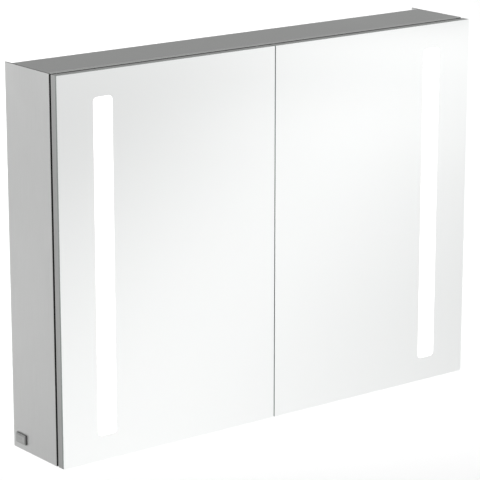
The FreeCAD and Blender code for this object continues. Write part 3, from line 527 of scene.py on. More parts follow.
# %% Handling marks
def make_marks():
    """Roughness from Low to High, by a smooth noise cut to a few soft patches."""
    tree, source, target = new_group(
        "handling_marks",
        [("Low", FLOAT, 0.2), ("High", FLOAT, 0.3), ("Scale", FLOAT, 9.0)],
        [("Roughness", FLOAT)],
    )
    place = node_of(tree, "ShaderNodeTexCoord")
    noise = node_of(tree, "ShaderNodeTexNoise", Detail=4.0, Roughness=0.55, Distortion=0.6)
    cut = node_of(tree, "ShaderNodeMapRange", interpolation_type="SMOOTHSTEP")
    cut.inputs["From Min"].default_value = 0.45
    cut.inputs["From Max"].default_value = 0.75
    link(tree, place.outputs["Object"], noise.inputs["Vector"])
    link(tree, source.outputs["Scale"], noise.inputs["Scale"])
    link(tree, noise.outputs[0], cut.inputs[0])
    link(tree, source.outputs["Low"], cut.inputs["To Min"])
    link(tree, source.outputs["High"], cut.inputs["To Max"])
    link(tree, cut.outputs[0], target.inputs["Roughness"])
    return tree


GRAIN, TONE, MARKS = make_grain(), make_tone(), make_marks()
print("effect groups", [tree.name for tree in (GRAIN, TONE, MARKS)])


# %% [markdown]
# ## Materials
# One function lays out the usual net: tone into colour, marks into roughness, grain into bump.
# A finish is then a short call with its own numbers.


# %% The usual net
def finish(name, dark, light, low, high, stretch=(600, 600, 600), bump=0.02, tone=3.0, marks=9.0,
           grain_shade=True, **shader_values):
    """A material: colour between dark and light, roughness between low and high, grain as bump."""
    material = bpy.data.materials.new(name)
    material.use_nodes = True
    tree = material.node_tree
    shader = tree.nodes["Principled BSDF"]
    for key, value in shader_values.items():
        shader.inputs[key.replace("_", " ")].default_value = value
    grain = node_of(tree, "ShaderNodeGroup", node_tree=GRAIN)
    grain.inputs["Stretch"].default_value = stretch
    colour = node_of(tree, "ShaderNodeGroup", node_tree=TONE)
    colour.inputs["Colour A"].default_value = (*dark, 1)
    colour.inputs["Colour B"].default_value = (*light, 1)
    colour.inputs["Scale"].default_value = tone
    if grain_shade:
        link(tree, grain.outputs["Shade"], colour.inputs["Shade"])
    wear = node_of(tree, "ShaderNodeGroup", node_tree=MARKS)
    wear.inputs["Low"].default_value = low
    wear.inputs["High"].default_value = high
    wear.inputs["Scale"].default_value = marks
    height = node_of(tree, "ShaderNodeBump", Strength=bump, Distance=0.0004)
    link(tree, colour.outputs[0], shader.inputs["Base Color"])
    link(tree, wear.outputs[0], shader.inputs["Roughness"])
    link(tree, grain.outputs["Value"], height.inputs["Height"])
    link(tree, height.outputs[0], shader.inputs["Normal"])
    return material


def grey(value, tint=0.004):
    """A neutral grey with the slightest green, as aluminium has."""
    return (value, value + tint, value)


def even(times):
    """A grain without direction: the same number of cells per metre along all three axes."""
    return (times, times, times)


UPRIGHT_LINES = (700, 700, 14)
LEVEL_LINES = (14, 700, 700)


# %% [markdown]
# ### Metals
# Anodised aluminium is a soft mirror: metallic, with a roughness near 0.4 and lines of grain
# along the direction in which the sheet was rolled. Plated steel is smoother and brighter.

# %% Metals
anodised = finish(
    "anodised_sheet", grey(0.505), grey(0.545), low=0.36, high=0.44,
    stretch=UPRIGHT_LINES, bump=0.10, tone=2.0, marks=5.0, Metallic=1.0,
)
grey_sheet = finish(
    "grey_sheet", grey(0.395), grey(0.415), low=0.34, high=0.42,
    stretch=LEVEL_LINES, bump=0.10, tone=2.0, marks=5.0, Metallic=1.0,
)
trim_metal = finish(
    "trim_metal", grey(0.42), grey(0.46), low=0.26, high=0.34,
    stretch=LEVEL_LINES, bump=0.10, tone=3.0, marks=6.0, Metallic=1.0,
)
frame_metal = finish(
    "door_frame_metal", grey(0.335), grey(0.365), low=0.30, high=0.38,
    stretch=UPRIGHT_LINES, bump=0.10, tone=3.0, marks=6.0, Metallic=1.0,
)
# Painted shade: a near-black metal for the rounded edges of the side sheets, standing for the thin dark lines
# of shade along them.
edge_shade_metal = finish(
    "painted_edge_shade", grey(0.05), grey(0.07), low=0.3, high=0.4,
    stretch=even(300), bump=0.1, tone=30.0, marks=30.0, Metallic=1.0,
)
plain_channel = finish(
    "plain_channel", grey(0.72), grey(0.78), low=0.30, high=0.42,
    stretch=(500, 500, 10), bump=0.15, tone=5.0, marks=9.0, Metallic=1.0,
)
nickel = finish(
    "nickel_plate", (0.66, 0.64, 0.61), (0.72, 0.70, 0.67), low=0.14, high=0.24,
    stretch=even(300), bump=0.05, tone=20.0, marks=30.0, Metallic=1.0,
)
zinc = finish(
    "zinc_plate", (0.52, 0.54, 0.56), (0.66, 0.67, 0.68), low=0.28, high=0.46,
    stretch=even(90), bump=0.10, tone=24.0, marks=18.0, Metallic=1.0,
)
screw_metal = finish(
    "screw_metal", (0.58, 0.58, 0.58), (0.66, 0.66, 0.65), low=0.2, high=0.32,
    stretch=even(800), bump=0.08, tone=40.0, marks=50.0, Metallic=1.0,
)

# %% [markdown]
# ### Boards, plastics and rubber
# These scatter light, so their colour is a little uneven and their gloss comes from a thin top
# layer. The laminate has a fine pearl texture, the rubber a dull one.

# %% Boards, plastics and rubber
white_board = finish(
    "white_board", (0.80, 0.80, 0.79), (0.84, 0.84, 0.83), low=0.32, high=0.42,
    stretch=even(420), bump=0.06, tone=3.0, marks=8.0, grain_shade=False,
)
socket_white = finish(
    "socket_white", (0.82, 0.82, 0.80), (0.86, 0.86, 0.84), low=0.14, high=0.24,
    stretch=even(200), bump=0.02, tone=12.0, marks=30.0, grain_shade=False, Coat_Weight=0.3,
)
driver_white = finish(
    "driver_white", (0.74, 0.74, 0.72), (0.80, 0.80, 0.78), low=0.42, high=0.55,
    stretch=even(900), bump=0.12, tone=12.0, marks=20.0, grain_shade=False,
)
gland_grey = finish(
    "gland_grey", (0.26, 0.27, 0.28), (0.32, 0.33, 0.34), low=0.38, high=0.5,
    stretch=even(900), bump=0.12, tone=40.0, marks=40.0,
)
bezel_grey = finish(
    "bezel_grey", (0.30, 0.305, 0.30), (0.33, 0.335, 0.33), low=0.36, high=0.46,
    stretch=even(1500), bump=0.15, tone=40.0, marks=60.0, grain_shade=False,
)
cap_grey = finish(
    "cap_grey", (0.34, 0.345, 0.34), (0.38, 0.385, 0.38), low=0.3, high=0.42,
    stretch=even(1500), bump=0.12, tone=40.0, marks=60.0, grain_shade=False,
)
# Painted shade: a near-black for the walls of the switch frame, where shade falls round the raised frame.
painted_wall_shade = finish(
    "painted_wall_shade", (0.07, 0.072, 0.07), (0.10, 0.102, 0.10), low=0.4, high=0.5,
    stretch=even(1500), bump=0.15, tone=40.0, marks=60.0, grain_shade=False,
)
mark_grey = finish(
    "mark_grey", (0.24, 0.245, 0.24), (0.28, 0.285, 0.28), low=0.4, high=0.5,
    stretch=even(1500), bump=0.12, tone=40.0, marks=60.0, grain_shade=False,
)
# Partly painted shade: black foam, whose near-black colour and low gloss also stand for the shade in the door
# gap.
black_foam = finish(
    "black_foam", (0.006, 0.006, 0.006), (0.014, 0.014, 0.014), low=0.75, high=0.9,
    stretch=even(1800), bump=0.5, tone=30.0, marks=40.0, Specular_IOR_Level=0.2,
)
grey_rubber = finish(
    "grey_rubber", (0.10, 0.10, 0.10), (0.14, 0.14, 0.14), low=0.5, high=0.65,
    stretch=even(700), bump=0.2, tone=30.0, marks=30.0,
)
clear_pad = finish(
    "clear_pad", (0.70, 0.71, 0.71), (0.78, 0.79, 0.79), low=0.15, high=0.25,
    stretch=even(300), bump=0.03, tone=50.0, marks=60.0, grain_shade=False,
)
circuit_white = finish(
    "circuit_white", (0.80, 0.81, 0.79), (0.86, 0.87, 0.85), low=0.25, high=0.35,
    stretch=even(500), bump=0.04, tone=30.0, marks=30.0, grain_shade=False,
)
opal = finish(
    "opal_sheet", (0.90, 0.90, 0.89), (0.94, 0.94, 0.93), low=0.4, high=0.5,
    stretch=even(500), bump=0.03, tone=8.0, marks=12.0, grain_shade=False,
)

# %% [markdown]
# ### Glass and light
# A mirror is a perfect metal behind clear glass. Its sawn edge is greenish and polished. The
# frosted window is etched glass in front of a bright opal sheet, so it gives light of its own.

# %% Glass and light
mirror = finish(
    "mirror", (0.925, 0.935, 0.93), (0.94, 0.95, 0.945), low=0.0, high=0.012,
    stretch=even(30), bump=0.0, tone=1.5, marks=3.0, grain_shade=False, Metallic=1.0,
)
glass_edge = finish(
    "glass_edge", (0.22, 0.25, 0.235), (0.27, 0.30, 0.285), low=0.12, high=0.24,
    stretch=(60, 900, 60), bump=0.03, tone=20.0, marks=30.0, grain_shade=False, Coat_Weight=0.2,
)


def make_frosted():
    """Etched glass that glows: the light falls off a little between the lamp chips."""
    material = finish(
        "frosted_light", (0.93, 0.935, 0.93), (0.96, 0.965, 0.96), low=0.5, high=0.6,
        stretch=even(900), bump=0.05, tone=6.0, marks=20.0, grain_shade=False,
    )
    tree = material.node_tree
    shader = tree.nodes["Principled BSDF"]
    place = node_of(tree, "ShaderNodeTexCoord")
    wave = node_of(tree, "ShaderNodeTexWave", wave_type="BANDS", bands_direction="Z", Scale=11.0)
    glow = node_of(tree, "ShaderNodeMapRange")
    glow.inputs["To Min"].default_value = 0.97
    glow.inputs["To Max"].default_value = 1.0
    colour = node_of(tree, "ShaderNodeCombineColor")
    link(tree, place.outputs["Object"], wave.inputs["Vector"])
    link(tree, wave.outputs["Fac"], glow.inputs[0])
    for channel in ("Red", "Green", "Blue"):
        link(tree, glow.outputs[0], colour.inputs[channel])
    link(tree, colour.outputs[0], shader.inputs["Emission Color"])
    shader.inputs["Emission Strength"].default_value = 1.15
    return material


frosted = make_frosted()
shelf_glass = finish(
    "shelf_glass", (0.90, 0.97, 0.945), (0.93, 0.985, 0.965), low=0.0, high=0.015,
    stretch=even(30), bump=0.0, tone=3.0, marks=6.0, grain_shade=False, Transmission_Weight=1.0, IOR=1.5,
)
print("materials", len(bpy.data.materials))

# %% [markdown]
# ## The case
# Thin sheets wrap the sides, and their rear edges stand clear behind the top. Each sheet is a
# softened plate in the place of the model's node; the left one has the switch's opening.

# %% Side sheets
def paint_by_direction(made, edge_material, keep, limit=0.9):
    """Second material on every face whose normal isn't close to one of the directions to keep."""
    made.data.materials.append(edge_material)
    normals = np.zeros(len(made.data.polygons) * 3)
    made.data.polygons.foreach_get("normal", normals)
    closest = (normals.reshape(-1, 3) @ np.array(keep, float).T).max(1)
    made.data.polygons.foreach_set("material_index", (closest < limit).astype(int))


SIDES = ("left", "right")
SHEET_ROUND = 0.001
right_sheet = piece("right_side_sheet", plate("right_side_panel", "x", 0.0008, SHEET_ROUND), anodised,
                    "cabinet", ["right_side_panel"])
low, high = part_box("left_side_panel")
housing_low, housing_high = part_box("switch_housing")
CASE_INSET = 0.0016
opening = box_corners((housing_low.y + CASE_INSET, housing_low.z + CASE_INSET),
                      (housing_high.y - CASE_INSET, housing_high.z - CASE_INSET))
left_sheet = piece(
    "left_side_sheet",
    pierced(soften(box_corners((low.y, low.z), (high.y, high.z)), 0.0008, 3), soften(opening, 0.0006, 3),
            low.x, high.x, "x", SHEET_ROUND),
    anodised, "cabinet", ["left_side_panel"],
)
# Painted shade: the rounds, rims and rear edges of both sheets get the near-black metal for the dark lines of
# shade along the edges.
for sheet in (left_sheet, right_sheet):
    paint_by_direction(sheet, edge_shade_metal, [(1, 0, 0), (-1, 0, 0), (0, -1, 0)])

# %% [markdown]
# The top and the bottom are flat boards with a metal face. A narrow trim runs along the front
# edge of each, a little lighter and glossier.

# %% Top, bottom and trims
for level in ("top", "bottom"):
    piece(f"{level}_sheet", plate(f"{level}_panel", "z"), grey_sheet, "cabinet",
          [f"{level}_panel"])
    piece(f"{level}_edge_trim", plate(f"{level}_trim", "x", 0.0012, 0.0004), trim_metal, "cabinet",
          [f"{level}_trim"])

# %% [markdown]
# ## Sealing strips
# Closed-cell foam on the front edges of the sides: a low black cushion with a rounded crown.
# Its near-black colour and low gloss also stand for painted shade in the gap between case and doors.


# %% Sealing strips
CROWN_SHARE = 0.6
STRIP_WIDE = 0.013


def foam_strip(low, high):
    """A strip whose section is a flat base and a crown, a half ellipse over CROWN_SHARE of its height."""
    turn = np.linspace(0, np.pi, 13)
    middle, half = (low[0] + high[0]) / 2, (high[0] - low[0]) / 2
    base = np.array([(middle - half, high[1]), (middle + half, high[1])])
    tall = high[1] - low[1]
    swell = (1 - CROWN_SHARE) + CROWN_SHARE * np.sin(turn)
    crown = np.column_stack((middle + half * np.cos(turn), high[1] - tall * swell))
    return prism(np.concatenate((base, crown)), low[2], high[2], "z", 0.0)


strip_low, strip_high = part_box("side_seals")
strips = [foam_strip(strip_low, (strip_low.x + STRIP_WIDE, strip_high.y, strip_high.z)),
          foam_strip((strip_high.x - STRIP_WIDE, strip_low.y, strip_low.z), strip_high)]
piece("foam_strips", merged(strips), black_foam, "cabinet", ["side_seals"])

# %% [markdown]
# ## Doors
# Each front mirror is one sheet with a rounded opening, so its outer and inner outlines are both
# rings with the same number of points. Faces that look forwards get the mirror, and the rest the
# polished glass edge.


# %% Door mirrors and windows
GLASS_EDGE_ROUND = 0.0002
WINDOW_EDGE_ROUND = 0.0001
WINDOW_ROUND = 0.008


def door_front(side):
    """The front mirror of one door, and the frosted window in its opening."""
    body = f"{side}_door"
    low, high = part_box(f"{side}_door_mirror")
    window_low, window_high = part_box(f"{side}_door_light_window")
    outer = soften(box_corners((low.x, low.z), (high.x, high.z)), 0.0008, 8)
    inner = soften(box_corners((window_low.x, window_low.z), (window_high.x, window_high.z)),
                   WINDOW_ROUND, 8)
    sheet = piece(f"{side}_mirror_sheet", pierced(outer, inner, low.y, high.y, "y", GLASS_EDGE_ROUND),
                  mirror, body, [f"{side}_door_mirror"])
    paint_by_direction(sheet, glass_edge, [(0, -1, 0)])
    piece(f"{side}_frosted_window", prism(inner, window_low.y, window_high.y, "y", WINDOW_EDGE_ROUND),
          frosted, body, [f"{side}_door_light_window"])


# %% [markdown]
# Inside, a second mirror fills the frame. The frame is of flat aluminium bars, sawn square and
# a little rounded. The stile at the hinges is the model's own piece, because it has bored cups.


# %% Inner mirrors and frame bars
def door_inside(side):
    """The inner mirror and the three plain bars of one door's frame."""
    body = f"{side}_door"
    back = piece(f"{side}_inner_mirror_sheet", plate(f"{side}_door_inner_mirror", "y", 0.001, 0.0004),
                 mirror, body, [f"{side}_door_inner_mirror"])
    paint_by_direction(back, glass_edge, [(0, 1, 0)])
    for member, axis in (("lock_stile", "z"), ("top_rail", "x"), ("bottom_rail", "x")):
        piece(f"{side}_{member}_bar", plate(f"{side}_door_{member}", axis, 0.0006, 0.0003), frame_metal,
              body, [f"{side}_door_{member}"])


for side in SIDES:
    door_front(side)
    door_inside(side)
print("doors done, pieces so far", len(made_pieces))

# %% [markdown]
# ## Glass shelves
# Four plain shelves of clear glass. Their edges are ground and polished, so they are rounder and
# look greener than the faces.

# %% Shelves
for side in SIDES:
    for level in ("lower", "upper"):
        node = f"{side}_{level}_shelf"
        piece(f"{node}_glass", plate(node, "z", 0.002, 0.0008), shelf_glass, "cabinet", [node])

# %% [markdown]
# ## The switch
# A raised plastic frame is clipped into the side sheet, with a cap that stands a little out of
# it. The cap's face is dished for a fingertip, so its outline shrinks towards the middle while
# the surface sinks along a parabola. A thin ring marks the place to press.


# %% Switch frame
BEZEL_ROUND = 0.0012
WELL_ROUND = 0.0006
PLAY = 0.0002
low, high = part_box("switch_housing")
cap_low, cap_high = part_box("switch_button")
panel_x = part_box("left_side_panel")[0].x
bezel_outer = soften(box_corners((low.y, low.z), (high.y, high.z)), BEZEL_ROUND, 4)
well = soften(box_corners((cap_low.y - PLAY, cap_low.z - PLAY), (cap_high.y + PLAY, cap_high.z + PLAY)),
              WELL_ROUND, 4)
case = soften(opening, WELL_ROUND, 4)
bezel = pierced(bezel_outer, well, low.x, panel_x, "x", 0.0003)
shell = pierced(case, well, panel_x, high.x, "x", 0.0001)
switch_frame = piece("switch_frame", merged([bezel, shell]), bezel_grey, "cabinet",
                     ["switch_housing"])
# Painted shade: every face of the frame but its front gets the near-black, for the shade on its walls.
paint_by_direction(switch_frame, painted_wall_shade, [(-1, 0, 0)])
print("switch frame stands out by", round((panel_x - low.x) * 1000, 2), "mm")

# %% [markdown]
# The cap is one surface: straight sides, a small round, then the dished face. Scaling its outline
# by s and sinking it by depth times (1 - s squared) gives the dish.


# %% Switch cap and its ring mark
def dished(outline, low, high, axis, edge, depth, steps=8):
    """A prism whose low face sinks by depth (1 - s^2) as the outline shrinks to the share s."""
    wall = edge_rings(outline, low, high, axis, edge)
    third = PLANE_OF[axis][2]
    middle = wall[0].mean(0)
    share = np.linspace(0.02, 1, steps + 1)[:-1, None, None]
    face = middle + (wall[0] - middle) * share
    face[:, :, third] = low + depth * (1 - share[:, :, 0] ** 2)
    return skin(np.concatenate((face, wall)))


CAP_DISH = 0.0007
RING_OUTER, RING_INNER, RING_RISE = 0.0030, 0.0023, 0.0001
cap = soften(box_corners((cap_low.y, cap_low.z), (cap_high.y, cap_high.z)), 0.001, 4)
piece("switch_cap_block", dished(cap, cap_low.x, cap_high.x, "x", 0.0004, CAP_DISH), cap_grey,
      "switch_button", ["switch_button"])
turn = np.linspace(0, 2 * np.pi, 40, endpoint=False)
circle = np.column_stack((np.cos(turn), np.sin(turn)))
cap_middle = np.array(((cap_low.y + cap_high.y) / 2, (cap_low.z + cap_high.z) / 2))
ring_floor = cap_low.x + CAP_DISH
ring = pierced(cap_middle + circle * RING_OUTER, cap_middle + circle * RING_INNER, ring_floor - RING_RISE,
               ring_floor + RING_RISE, "x", RING_RISE / 2)
piece("switch_ring_mark", ring, mark_grey, "switch_button")

# %% [markdown]
# ## Screws
# A pan head with a cross recess. The head is a shallow dome, and the recess is cut out of it with a
# smooth mask: deep where the point is near either centre line and not too far from the middle.


# %% Cross-head screw
DOME_SHARE = 0.85
RECESS_HALF, RECESS_FADE = 0.21, 0.10
RECESS_REACH, RECESS_END, RECESS_DEPTH = 0.68, 0.12, 0.75


def smooth_step(value):
    """Zero below 0, one above 1, and an even S between."""
    value = np.clip(value, 0, 1)
    return value * value * (3 - 2 * value)


def screw(seat, facing, head, tall, shank, length, around=40):
    """A screw from its seat, with a dome less a recess.

    The dome's height is tall times the root of 1 - (DOME_SHARE t)^2, where t goes from 0 to 1.
    """
    facing = np.asarray(facing, float)
    across = np.array([facing[1], facing[2], facing[0]])
    along = np.cross(facing, across)
    share = np.linspace(0.03, 1, 11)[:, None]
    angle = np.linspace(0, 2 * np.pi, around, endpoint=False)[None, :]
    x, y = share * np.cos(angle), share * np.sin(angle)
    arms = (smooth_step((RECESS_HALF - np.minimum(abs(x), abs(y))) / RECESS_FADE)
            * smooth_step((RECESS_REACH - share) / RECESS_END))
    height = tall * (np.sqrt(1 - (DOME_SHARE * share) ** 2) - RECESS_DEPTH * arms)
    flat = np.zeros_like(angle)
    rings = [np.stack((x * head, y * head, height), -1)]
    for radius, level in ((head, 0.05 * tall), (head * 0.97, 0), (shank, 0), (shank, -length * 0.8),
                          (shank * 0.3, -length)):
        rings.append(np.stack((radius * np.cos(angle), radius * np.sin(angle), flat + level), -1))
    points = np.concatenate(rings)
    return skin(np.asarray(seat) + points[..., :1] * across + points[..., 1:2] * along
                + points[..., 2:] * facing)


# %% [markdown]
# ## Hinges
# Each door turns on three concealed hinges: a pressed cup in the door, and an arm on a plate that is
# screwed to the side wall. The cup is drawn from thin sheet steel. Its flange follows a rounded
# lozenge, given by its radius at every angle. The arm is a hooked strip with a long body.


# %% Hinge measures
HALF_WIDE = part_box("right_side_panel")[1].x
CUP_ROUND, CUP_SHEET, CUP_BEND = 0.0175, 0.0008, 0.003
CUP_INSET, PIVOT_INSET = 0.0215, 0.009
FLANGE_HALF, FLANGE_NEAR, FLANGE_FAR = 0.028, 0.0115, 0.0175
PIN_HALF = 0.0104
LINED = 0.014
pins_low, pins_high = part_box("left_door_hinge_pins")
cups_low, cups_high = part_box("left_door_hinge_cups")
arms_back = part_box("hinge_arms")[1].y
hinge_levels = np.linspace(pins_low.z + PIN_HALF, pins_high.z - PIN_HALF, 3)
pivot_y = (pins_low.y + pins_high.y) / 2
door_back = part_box("left_door_hinge_stile")[1].y
print("hinge heights", hinge_levels.round(4).tolist())


def to_side(surface, side):
    """Move a surface drawn with x as the distance inwards to its place on a side."""
    points, faces = surface
    points = np.array(points)
    points[:, 0] = (points[:, 0] - HALF_WIDE) * (1 if side == "left" else -1)
    return points, faces


# %% [markdown]
# The cup's wall runs from the middle of its floor outside, up over the rim and back to the middle
# inside, so it has real thickness. The flange is a plate with a round hole, and its radius is the
# larger of a circle and a superellipse, blended with a high power so that no corner shows.


# %% Hinge cups
def hinge_cup(z):
    """Wall and flange of one cup."""
    floor, rim = cups_low.y, cups_high.y
    inner = CUP_ROUND - CUP_SHEET
    profile = [(0.0002, floor), (CUP_ROUND - CUP_BEND, floor), (CUP_ROUND - 0.0009, floor + 0.0009),
               (CUP_ROUND, floor + CUP_BEND), (CUP_ROUND, rim - 0.0003), (CUP_ROUND - 0.0002, rim),
               (inner + 0.0002, rim), (inner, rim - 0.0003), (inner, floor + CUP_BEND),
               (inner - 0.0009, floor + CUP_SHEET + 0.0009), (inner - CUP_BEND, floor + CUP_SHEET),
               (0.0002, floor + CUP_SHEET)]
    wall = turned(profile, (CUP_INSET, 0, z), "y", 56)
    angle = np.linspace(0, 2 * np.pi, 96, endpoint=False)
    far = np.where(np.cos(angle) > 0, FLANGE_FAR, FLANGE_NEAR)
    lozenge = (abs(np.cos(angle) / far) ** 4 + abs(np.sin(angle) / FLANGE_HALF) ** 4) ** -0.25
    outer = (lozenge ** 24 + CUP_ROUND ** 24) ** (1 / 24)
    circle = np.column_stack((np.cos(angle), np.sin(angle)))
    middle = np.array((CUP_INSET, z))
    flange = pierced(middle + circle * outer[:, None], middle + circle * (inner + 0.0001), door_back, rim,
                     "y", 0.0003)
    return merged([wall, flange])


for side in SIDES:
    cups = merged([to_side(hinge_cup(z), side) for z in hinge_levels])
    piece(f"{side}_hinge_cup_set", cups, nickel, f"{side}_door", [f"{side}_door_hinge_cups"])

# %% [markdown]
# The arm leaves the pivot, turns a corner round the edge of the case and ends in a long body. The
# hook is a flat section carried along a path with a round bend, as strip is bent on a former. The
# body is a softened outline given length, and two adjusting screws sit in its face.

# %% Hinge arms
EYE_ROUND, EYE_HOLE, EYE_CHAMFER = 0.0026, 0.00152, 0.0003
LEG_HALF, ARM_HALF = 0.005, 0.008
ADJUSTER_AT = (-0.126, -0.098)
LEG_FAR, ARM_FRONT = 0.030, -0.138
PLATE_THICK = 0.002
HOOK_HALF, HOOK_TURN, HOOK_MIDDLE = 0.0016, 0.004, 0.028


def carried(section, path, level):
    """A flat section carried along a path in the x-y plane.

    The section's first measure lies across the path and its second is height above the level.
    """
    along = np.gradient(path, axis=0)
    along /= np.linalg.norm(along, axis=1, keepdims=True)
    across = np.stack((-along[:, 1], along[:, 0]), 1)
    rings = np.zeros((len(path), len(section), 3))
    rings[:, :, :2] = path[:, None] + across[:, None] * section[None, :, :1]
    rings[:, :, 2] = level + section[:, 1]
    return skin(rings)


bend = np.linspace(-np.pi / 2, 0, 10)
hook_path = np.concatenate((
    np.column_stack((np.linspace(PIVOT_INSET, HOOK_MIDDLE - HOOK_TURN, 6)[:-1], np.full(5, pivot_y))),
    np.column_stack((np.cos(bend), np.sin(bend))) * HOOK_TURN
    + (HOOK_MIDDLE - HOOK_TURN, pivot_y + HOOK_TURN),
    np.column_stack((np.full(5, HOOK_MIDDLE), np.linspace(pivot_y + HOOK_TURN, ARM_FRONT + 0.002, 6)[1:])),
))
hook_section = soften(box_corners((-HOOK_HALF, -LEG_HALF), (HOOK_HALF, LEG_HALF)), 0.0006, 4)
arm_corners = [(LINED + PLATE_THICK, -ARM_HALF), (LEG_FAR, -ARM_HALF), (LEG_FAR, ARM_HALF),
               (LINED + PLATE_THICK, ARM_HALF)]
arm_rounds = [0.0005, 0.004, 0.004, 0.0005]
sleeve = np.array([
    (EYE_HOLE, -LEG_HALF), (EYE_ROUND - EYE_CHAMFER, -LEG_HALF), (EYE_ROUND, EYE_CHAMFER - LEG_HALF),
    (EYE_ROUND, LEG_HALF - EYE_CHAMFER), (EYE_ROUND - EYE_CHAMFER, LEG_HALF), (EYE_HOLE, LEG_HALF),
])
arms, adjusters = [], []
for side in SIDES:
    for z in hinge_levels:
        hook = carried(hook_section, hook_path, z)
        section = soften(np.array(arm_corners) + (0, z), arm_rounds, 6)
        arm = prism(section, ARM_FRONT, arms_back, "y", 0.0014)
        eye = turned(sleeve + (0, z), (PIVOT_INSET, pivot_y, 0), "z", 32, wrap=True)
        arms += [to_side(part, side) for part in (hook, arm, eye)]
        for y in ADJUSTER_AT:
            seat = (LEG_FAR - 0.0002, y, z)
            adjusters.append(to_side(screw(seat, (1, 0, 0), 0.003, 0.0008, 0.0018, 0.004), side))
piece("hinge_arm_set", merged(arms), nickel, "cabinet", ["hinge_arms"])
piece("hinge_adjusting_screws", merged(adjusters), screw_metal, "cabinet")

# %% [markdown]
# The mounting plates are stamped, so their corners are round and their edges a little soft. Two
# screws go through each of them into the side wall.

# %% Hinge plates and their screws
HEAD, HEAD_TALL, SHANK, BITE = 0.0035, 0.0016, 0.0019, 0.007
PLATE_FRONT, PLATE_REAR, PLATE_HALF = -0.130, -0.090, 0.017
SCREW_Y, SCREW_RISE = -0.104, 0.0125
plates, fixings = [], []
for side in SIDES:
    for z in hinge_levels:
        outline = soften(box_corners((PLATE_FRONT, z - PLATE_HALF), (PLATE_REAR, z + PLATE_HALF)), 0.004, 5)
        plates.append(to_side(prism(outline, LINED, LINED + PLATE_THICK, "x", 0.0005), side))
        for rise in (-SCREW_RISE, SCREW_RISE):
            seat = (LINED + PLATE_THICK, SCREW_Y, z + rise)
            fixings.append(to_side(screw(seat, (1, 0, 0), HEAD, HEAD_TALL, SHANK, BITE + PLATE_THICK), side))
piece("hinge_plate_set", merged(plates), nickel, "cabinet", ["hinge_plates"])

# %% [markdown]
# Four more screws hold the angle brackets in the rear corners, and each hinge cup has a screw
# above it and one below, through its flange into the door.

# %% Bracket screws and cup screws
BRACKET, BRACKET_MIDDLE, BRACKET_HOLE_Y = 0.002, 0.230, -0.032
roof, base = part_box("top_panel")[0].z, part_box("bottom_panel")[1].z
for side in SIDES:
    for seat_z, facing in ((roof - BRACKET, -1.0), (base + BRACKET, 1.0)):
        seat = (BRACKET_MIDDLE, BRACKET_HOLE_Y, seat_z)
        fixings.append(to_side(screw(seat, (0, 0, facing), HEAD, HEAD_TALL, SHANK, BITE + BRACKET), side))
piece("carcass_screw_set", merged(fixings), screw_metal, "cabinet", ["carcass_screws"])
CUP_SCREW_PITCH, CUP_SCREW_INSET = 0.045, 0.031
for side in SIDES:
    seats = [(CUP_SCREW_INSET, cups_high.y, z + rise)
             for z in hinge_levels for rise in (-CUP_SCREW_PITCH / 2, CUP_SCREW_PITCH / 2)]
    heads = [to_side(screw(seat, (0, 1, 0), HEAD, HEAD_TALL, SHANK, BITE), side) for seat in seats]
    piece(f"{side}_cup_screw_set", merged(heads), screw_metal, f"{side}_door",
          [f"{side}_door_cup_screws"])

# %% [markdown]
# ## Shelf pins
# Small turned pins with a domed end and a thin collar against the wall. Sixteen of them hold the
# four shelves, two on each wall under each end.

# %% Shelf pins
PEG_ROUND, PEG_DEPTH, PEG_REACH = 0.0025, 0.006, 0.008
peg_profile = np.array([
    (0.0002, -PEG_DEPTH), (PEG_ROUND, -PEG_DEPTH), (PEG_ROUND, 0), (PEG_ROUND + 0.0012, 0),
    (PEG_ROUND + 0.0014, 0.0003), (PEG_ROUND + 0.0012, 0.0008), (PEG_ROUND, 0.0009),
    (PEG_ROUND, PEG_REACH - 0.0010), (PEG_ROUND - 0.0003, PEG_REACH - 0.0004),
    (PEG_ROUND - 0.0010, PEG_REACH), (0.0002, PEG_REACH),
])
PEG_AT = (-0.122, -0.068)
middle_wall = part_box("partition")[1].x
pins = []
for level in ("lower", "upper"):
    shelf_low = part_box(f"left_{level}_shelf")[0]
    for y in PEG_AT:
        centre = (0, y, shelf_low.z - PEG_ROUND)
        for side in SIDES:
            outer = turned(peg_profile + (0, LINED), centre, "x", 24)
            inner = turned(peg_profile * (1, -1) + (0, HALF_WIDE - middle_wall), centre, "x", 24)
            pins += [to_side(outer, side), to_side(inner, side)]
piece("shelf_pin_set", merged(pins), nickel, "cabinet", ["shelf_pegs"])
print("shelf pins", len(pins))

# %% [markdown]
# ## Socket box
# Two socket modules side by side. Each is a block with a round hole, so its square outline and the
# circle carry the same number of points, and the fine joint between the modules stays visible.


# %% Socket box
def square_round(low, high, radius, count):
    """A rounded square's outline, sampled at equal angles round its middle to match a circle."""
    middle = (np.array(low) + high) / 2
    outline = soften(box_corners(low, high), radius, 6)
    closed = np.concatenate((outline, outline[:1]))
    angle = np.unwrap(np.arctan2(*(closed - middle).T[::-1]))
    wanted = angle[0] + np.linspace(0, 2 * np.pi, count, endpoint=False)
    corners = angle[:-1]
    nearest = abs(wanted[None, :] - corners[:, None]).argmin(1)
    wanted[nearest] = corners
    points = np.column_stack([np.interp(wanted, angle, closed[:, i]) for i in (0, 1)])
    return points, middle, wanted


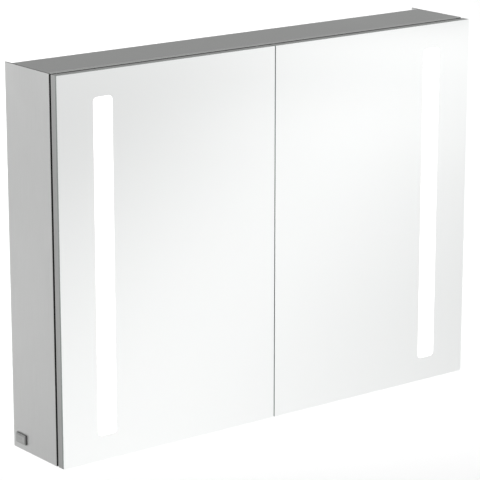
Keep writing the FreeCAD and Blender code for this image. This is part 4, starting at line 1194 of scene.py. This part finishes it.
low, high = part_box("socket_housing")
WELL = 0.0205
centre_x = (low.x + high.x) / 2
modules = []
for near, far in ((low.x, centre_x), (centre_x, high.x)):
    outline, middle, angle = square_round((near, low.z), (far, high.z), 0.002, 96)
    hole = middle + WELL * np.column_stack((np.cos(angle), np.sin(angle)))
    modules.append(pierced(outline, hole, low.y, high.y, "y", 0.0009))
piece("socket_modules", merged(modules), socket_white, "cabinet", ["socket_housing"])

# %% [markdown]
# ## Lamp driver
# The power supply is a rounded plastic case. A row of narrow ribs on the side that faces the wall
# helps it to shed heat. Each rib is a softened bar, a little wider at its foot.

# %% Lamp driver
RIBS, RIB_RISE, RIB_HALF = 11, 0.0012, 0.0022
RIB_END, RIB_GAP, RIB_ROOT = 0.03, 0.006, 0.001
low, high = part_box("led_driver")
body_back = high.y - RIB_RISE
case_outline = soften(box_corners((low.x, low.z), (high.x, high.z)), 0.003, 5)
parts = [prism(case_outline, low.y, body_back, "y", 0.0018)]
for x in np.linspace(low.x + RIB_END, high.x - RIB_END, RIBS):
    rib = soften(box_corners((x - RIB_HALF, low.z + RIB_GAP), (x + RIB_HALF, high.z - RIB_GAP)), 0.0015, 4)
    parts.append(prism(rib, body_back - RIB_ROOT, high.y, "y", 0.0008))
piece("lamp_driver_case", merged(parts), driver_white, "cabinet", ["led_driver"])

# %% [markdown]
# ## Finishes for the model's own pieces
# Where the engineering shape is already right, only the material changes.

# %% Finishes by node
FINISHES = {
    "left_side_liner": white_board, "right_side_liner": white_board, "back_panel": white_board,
    "partition": white_board, "angle_brackets": zinc, "wall_rail": zinc, "hangers": zinc,
    "hanger_screws": screw_metal, "lower_spacers": grey_rubber, "socket_inserts": socket_white,
    "cable_gland": gland_grey, "lead_grommets": grey_rubber,
}
for side in SIDES:
    FINISHES[f"{side}_door_hinge_stile"] = frame_metal
    FINISHES[f"{side}_door_light_channel"] = plain_channel
    FINISHES[f"{side}_door_led_board"] = circuit_white
    FINISHES[f"{side}_door_diffuser"] = opal
    FINISHES[f"{side}_door_hinge_pins"] = screw_metal
    FINISHES[f"{side}_door_stop_pads"] = clear_pad
for node, material in FINISHES.items():
    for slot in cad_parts[node].material_slots:
        slot.material = material
print("made", len(made_pieces), "pieces and finished", len(FINISHES), "nodes")
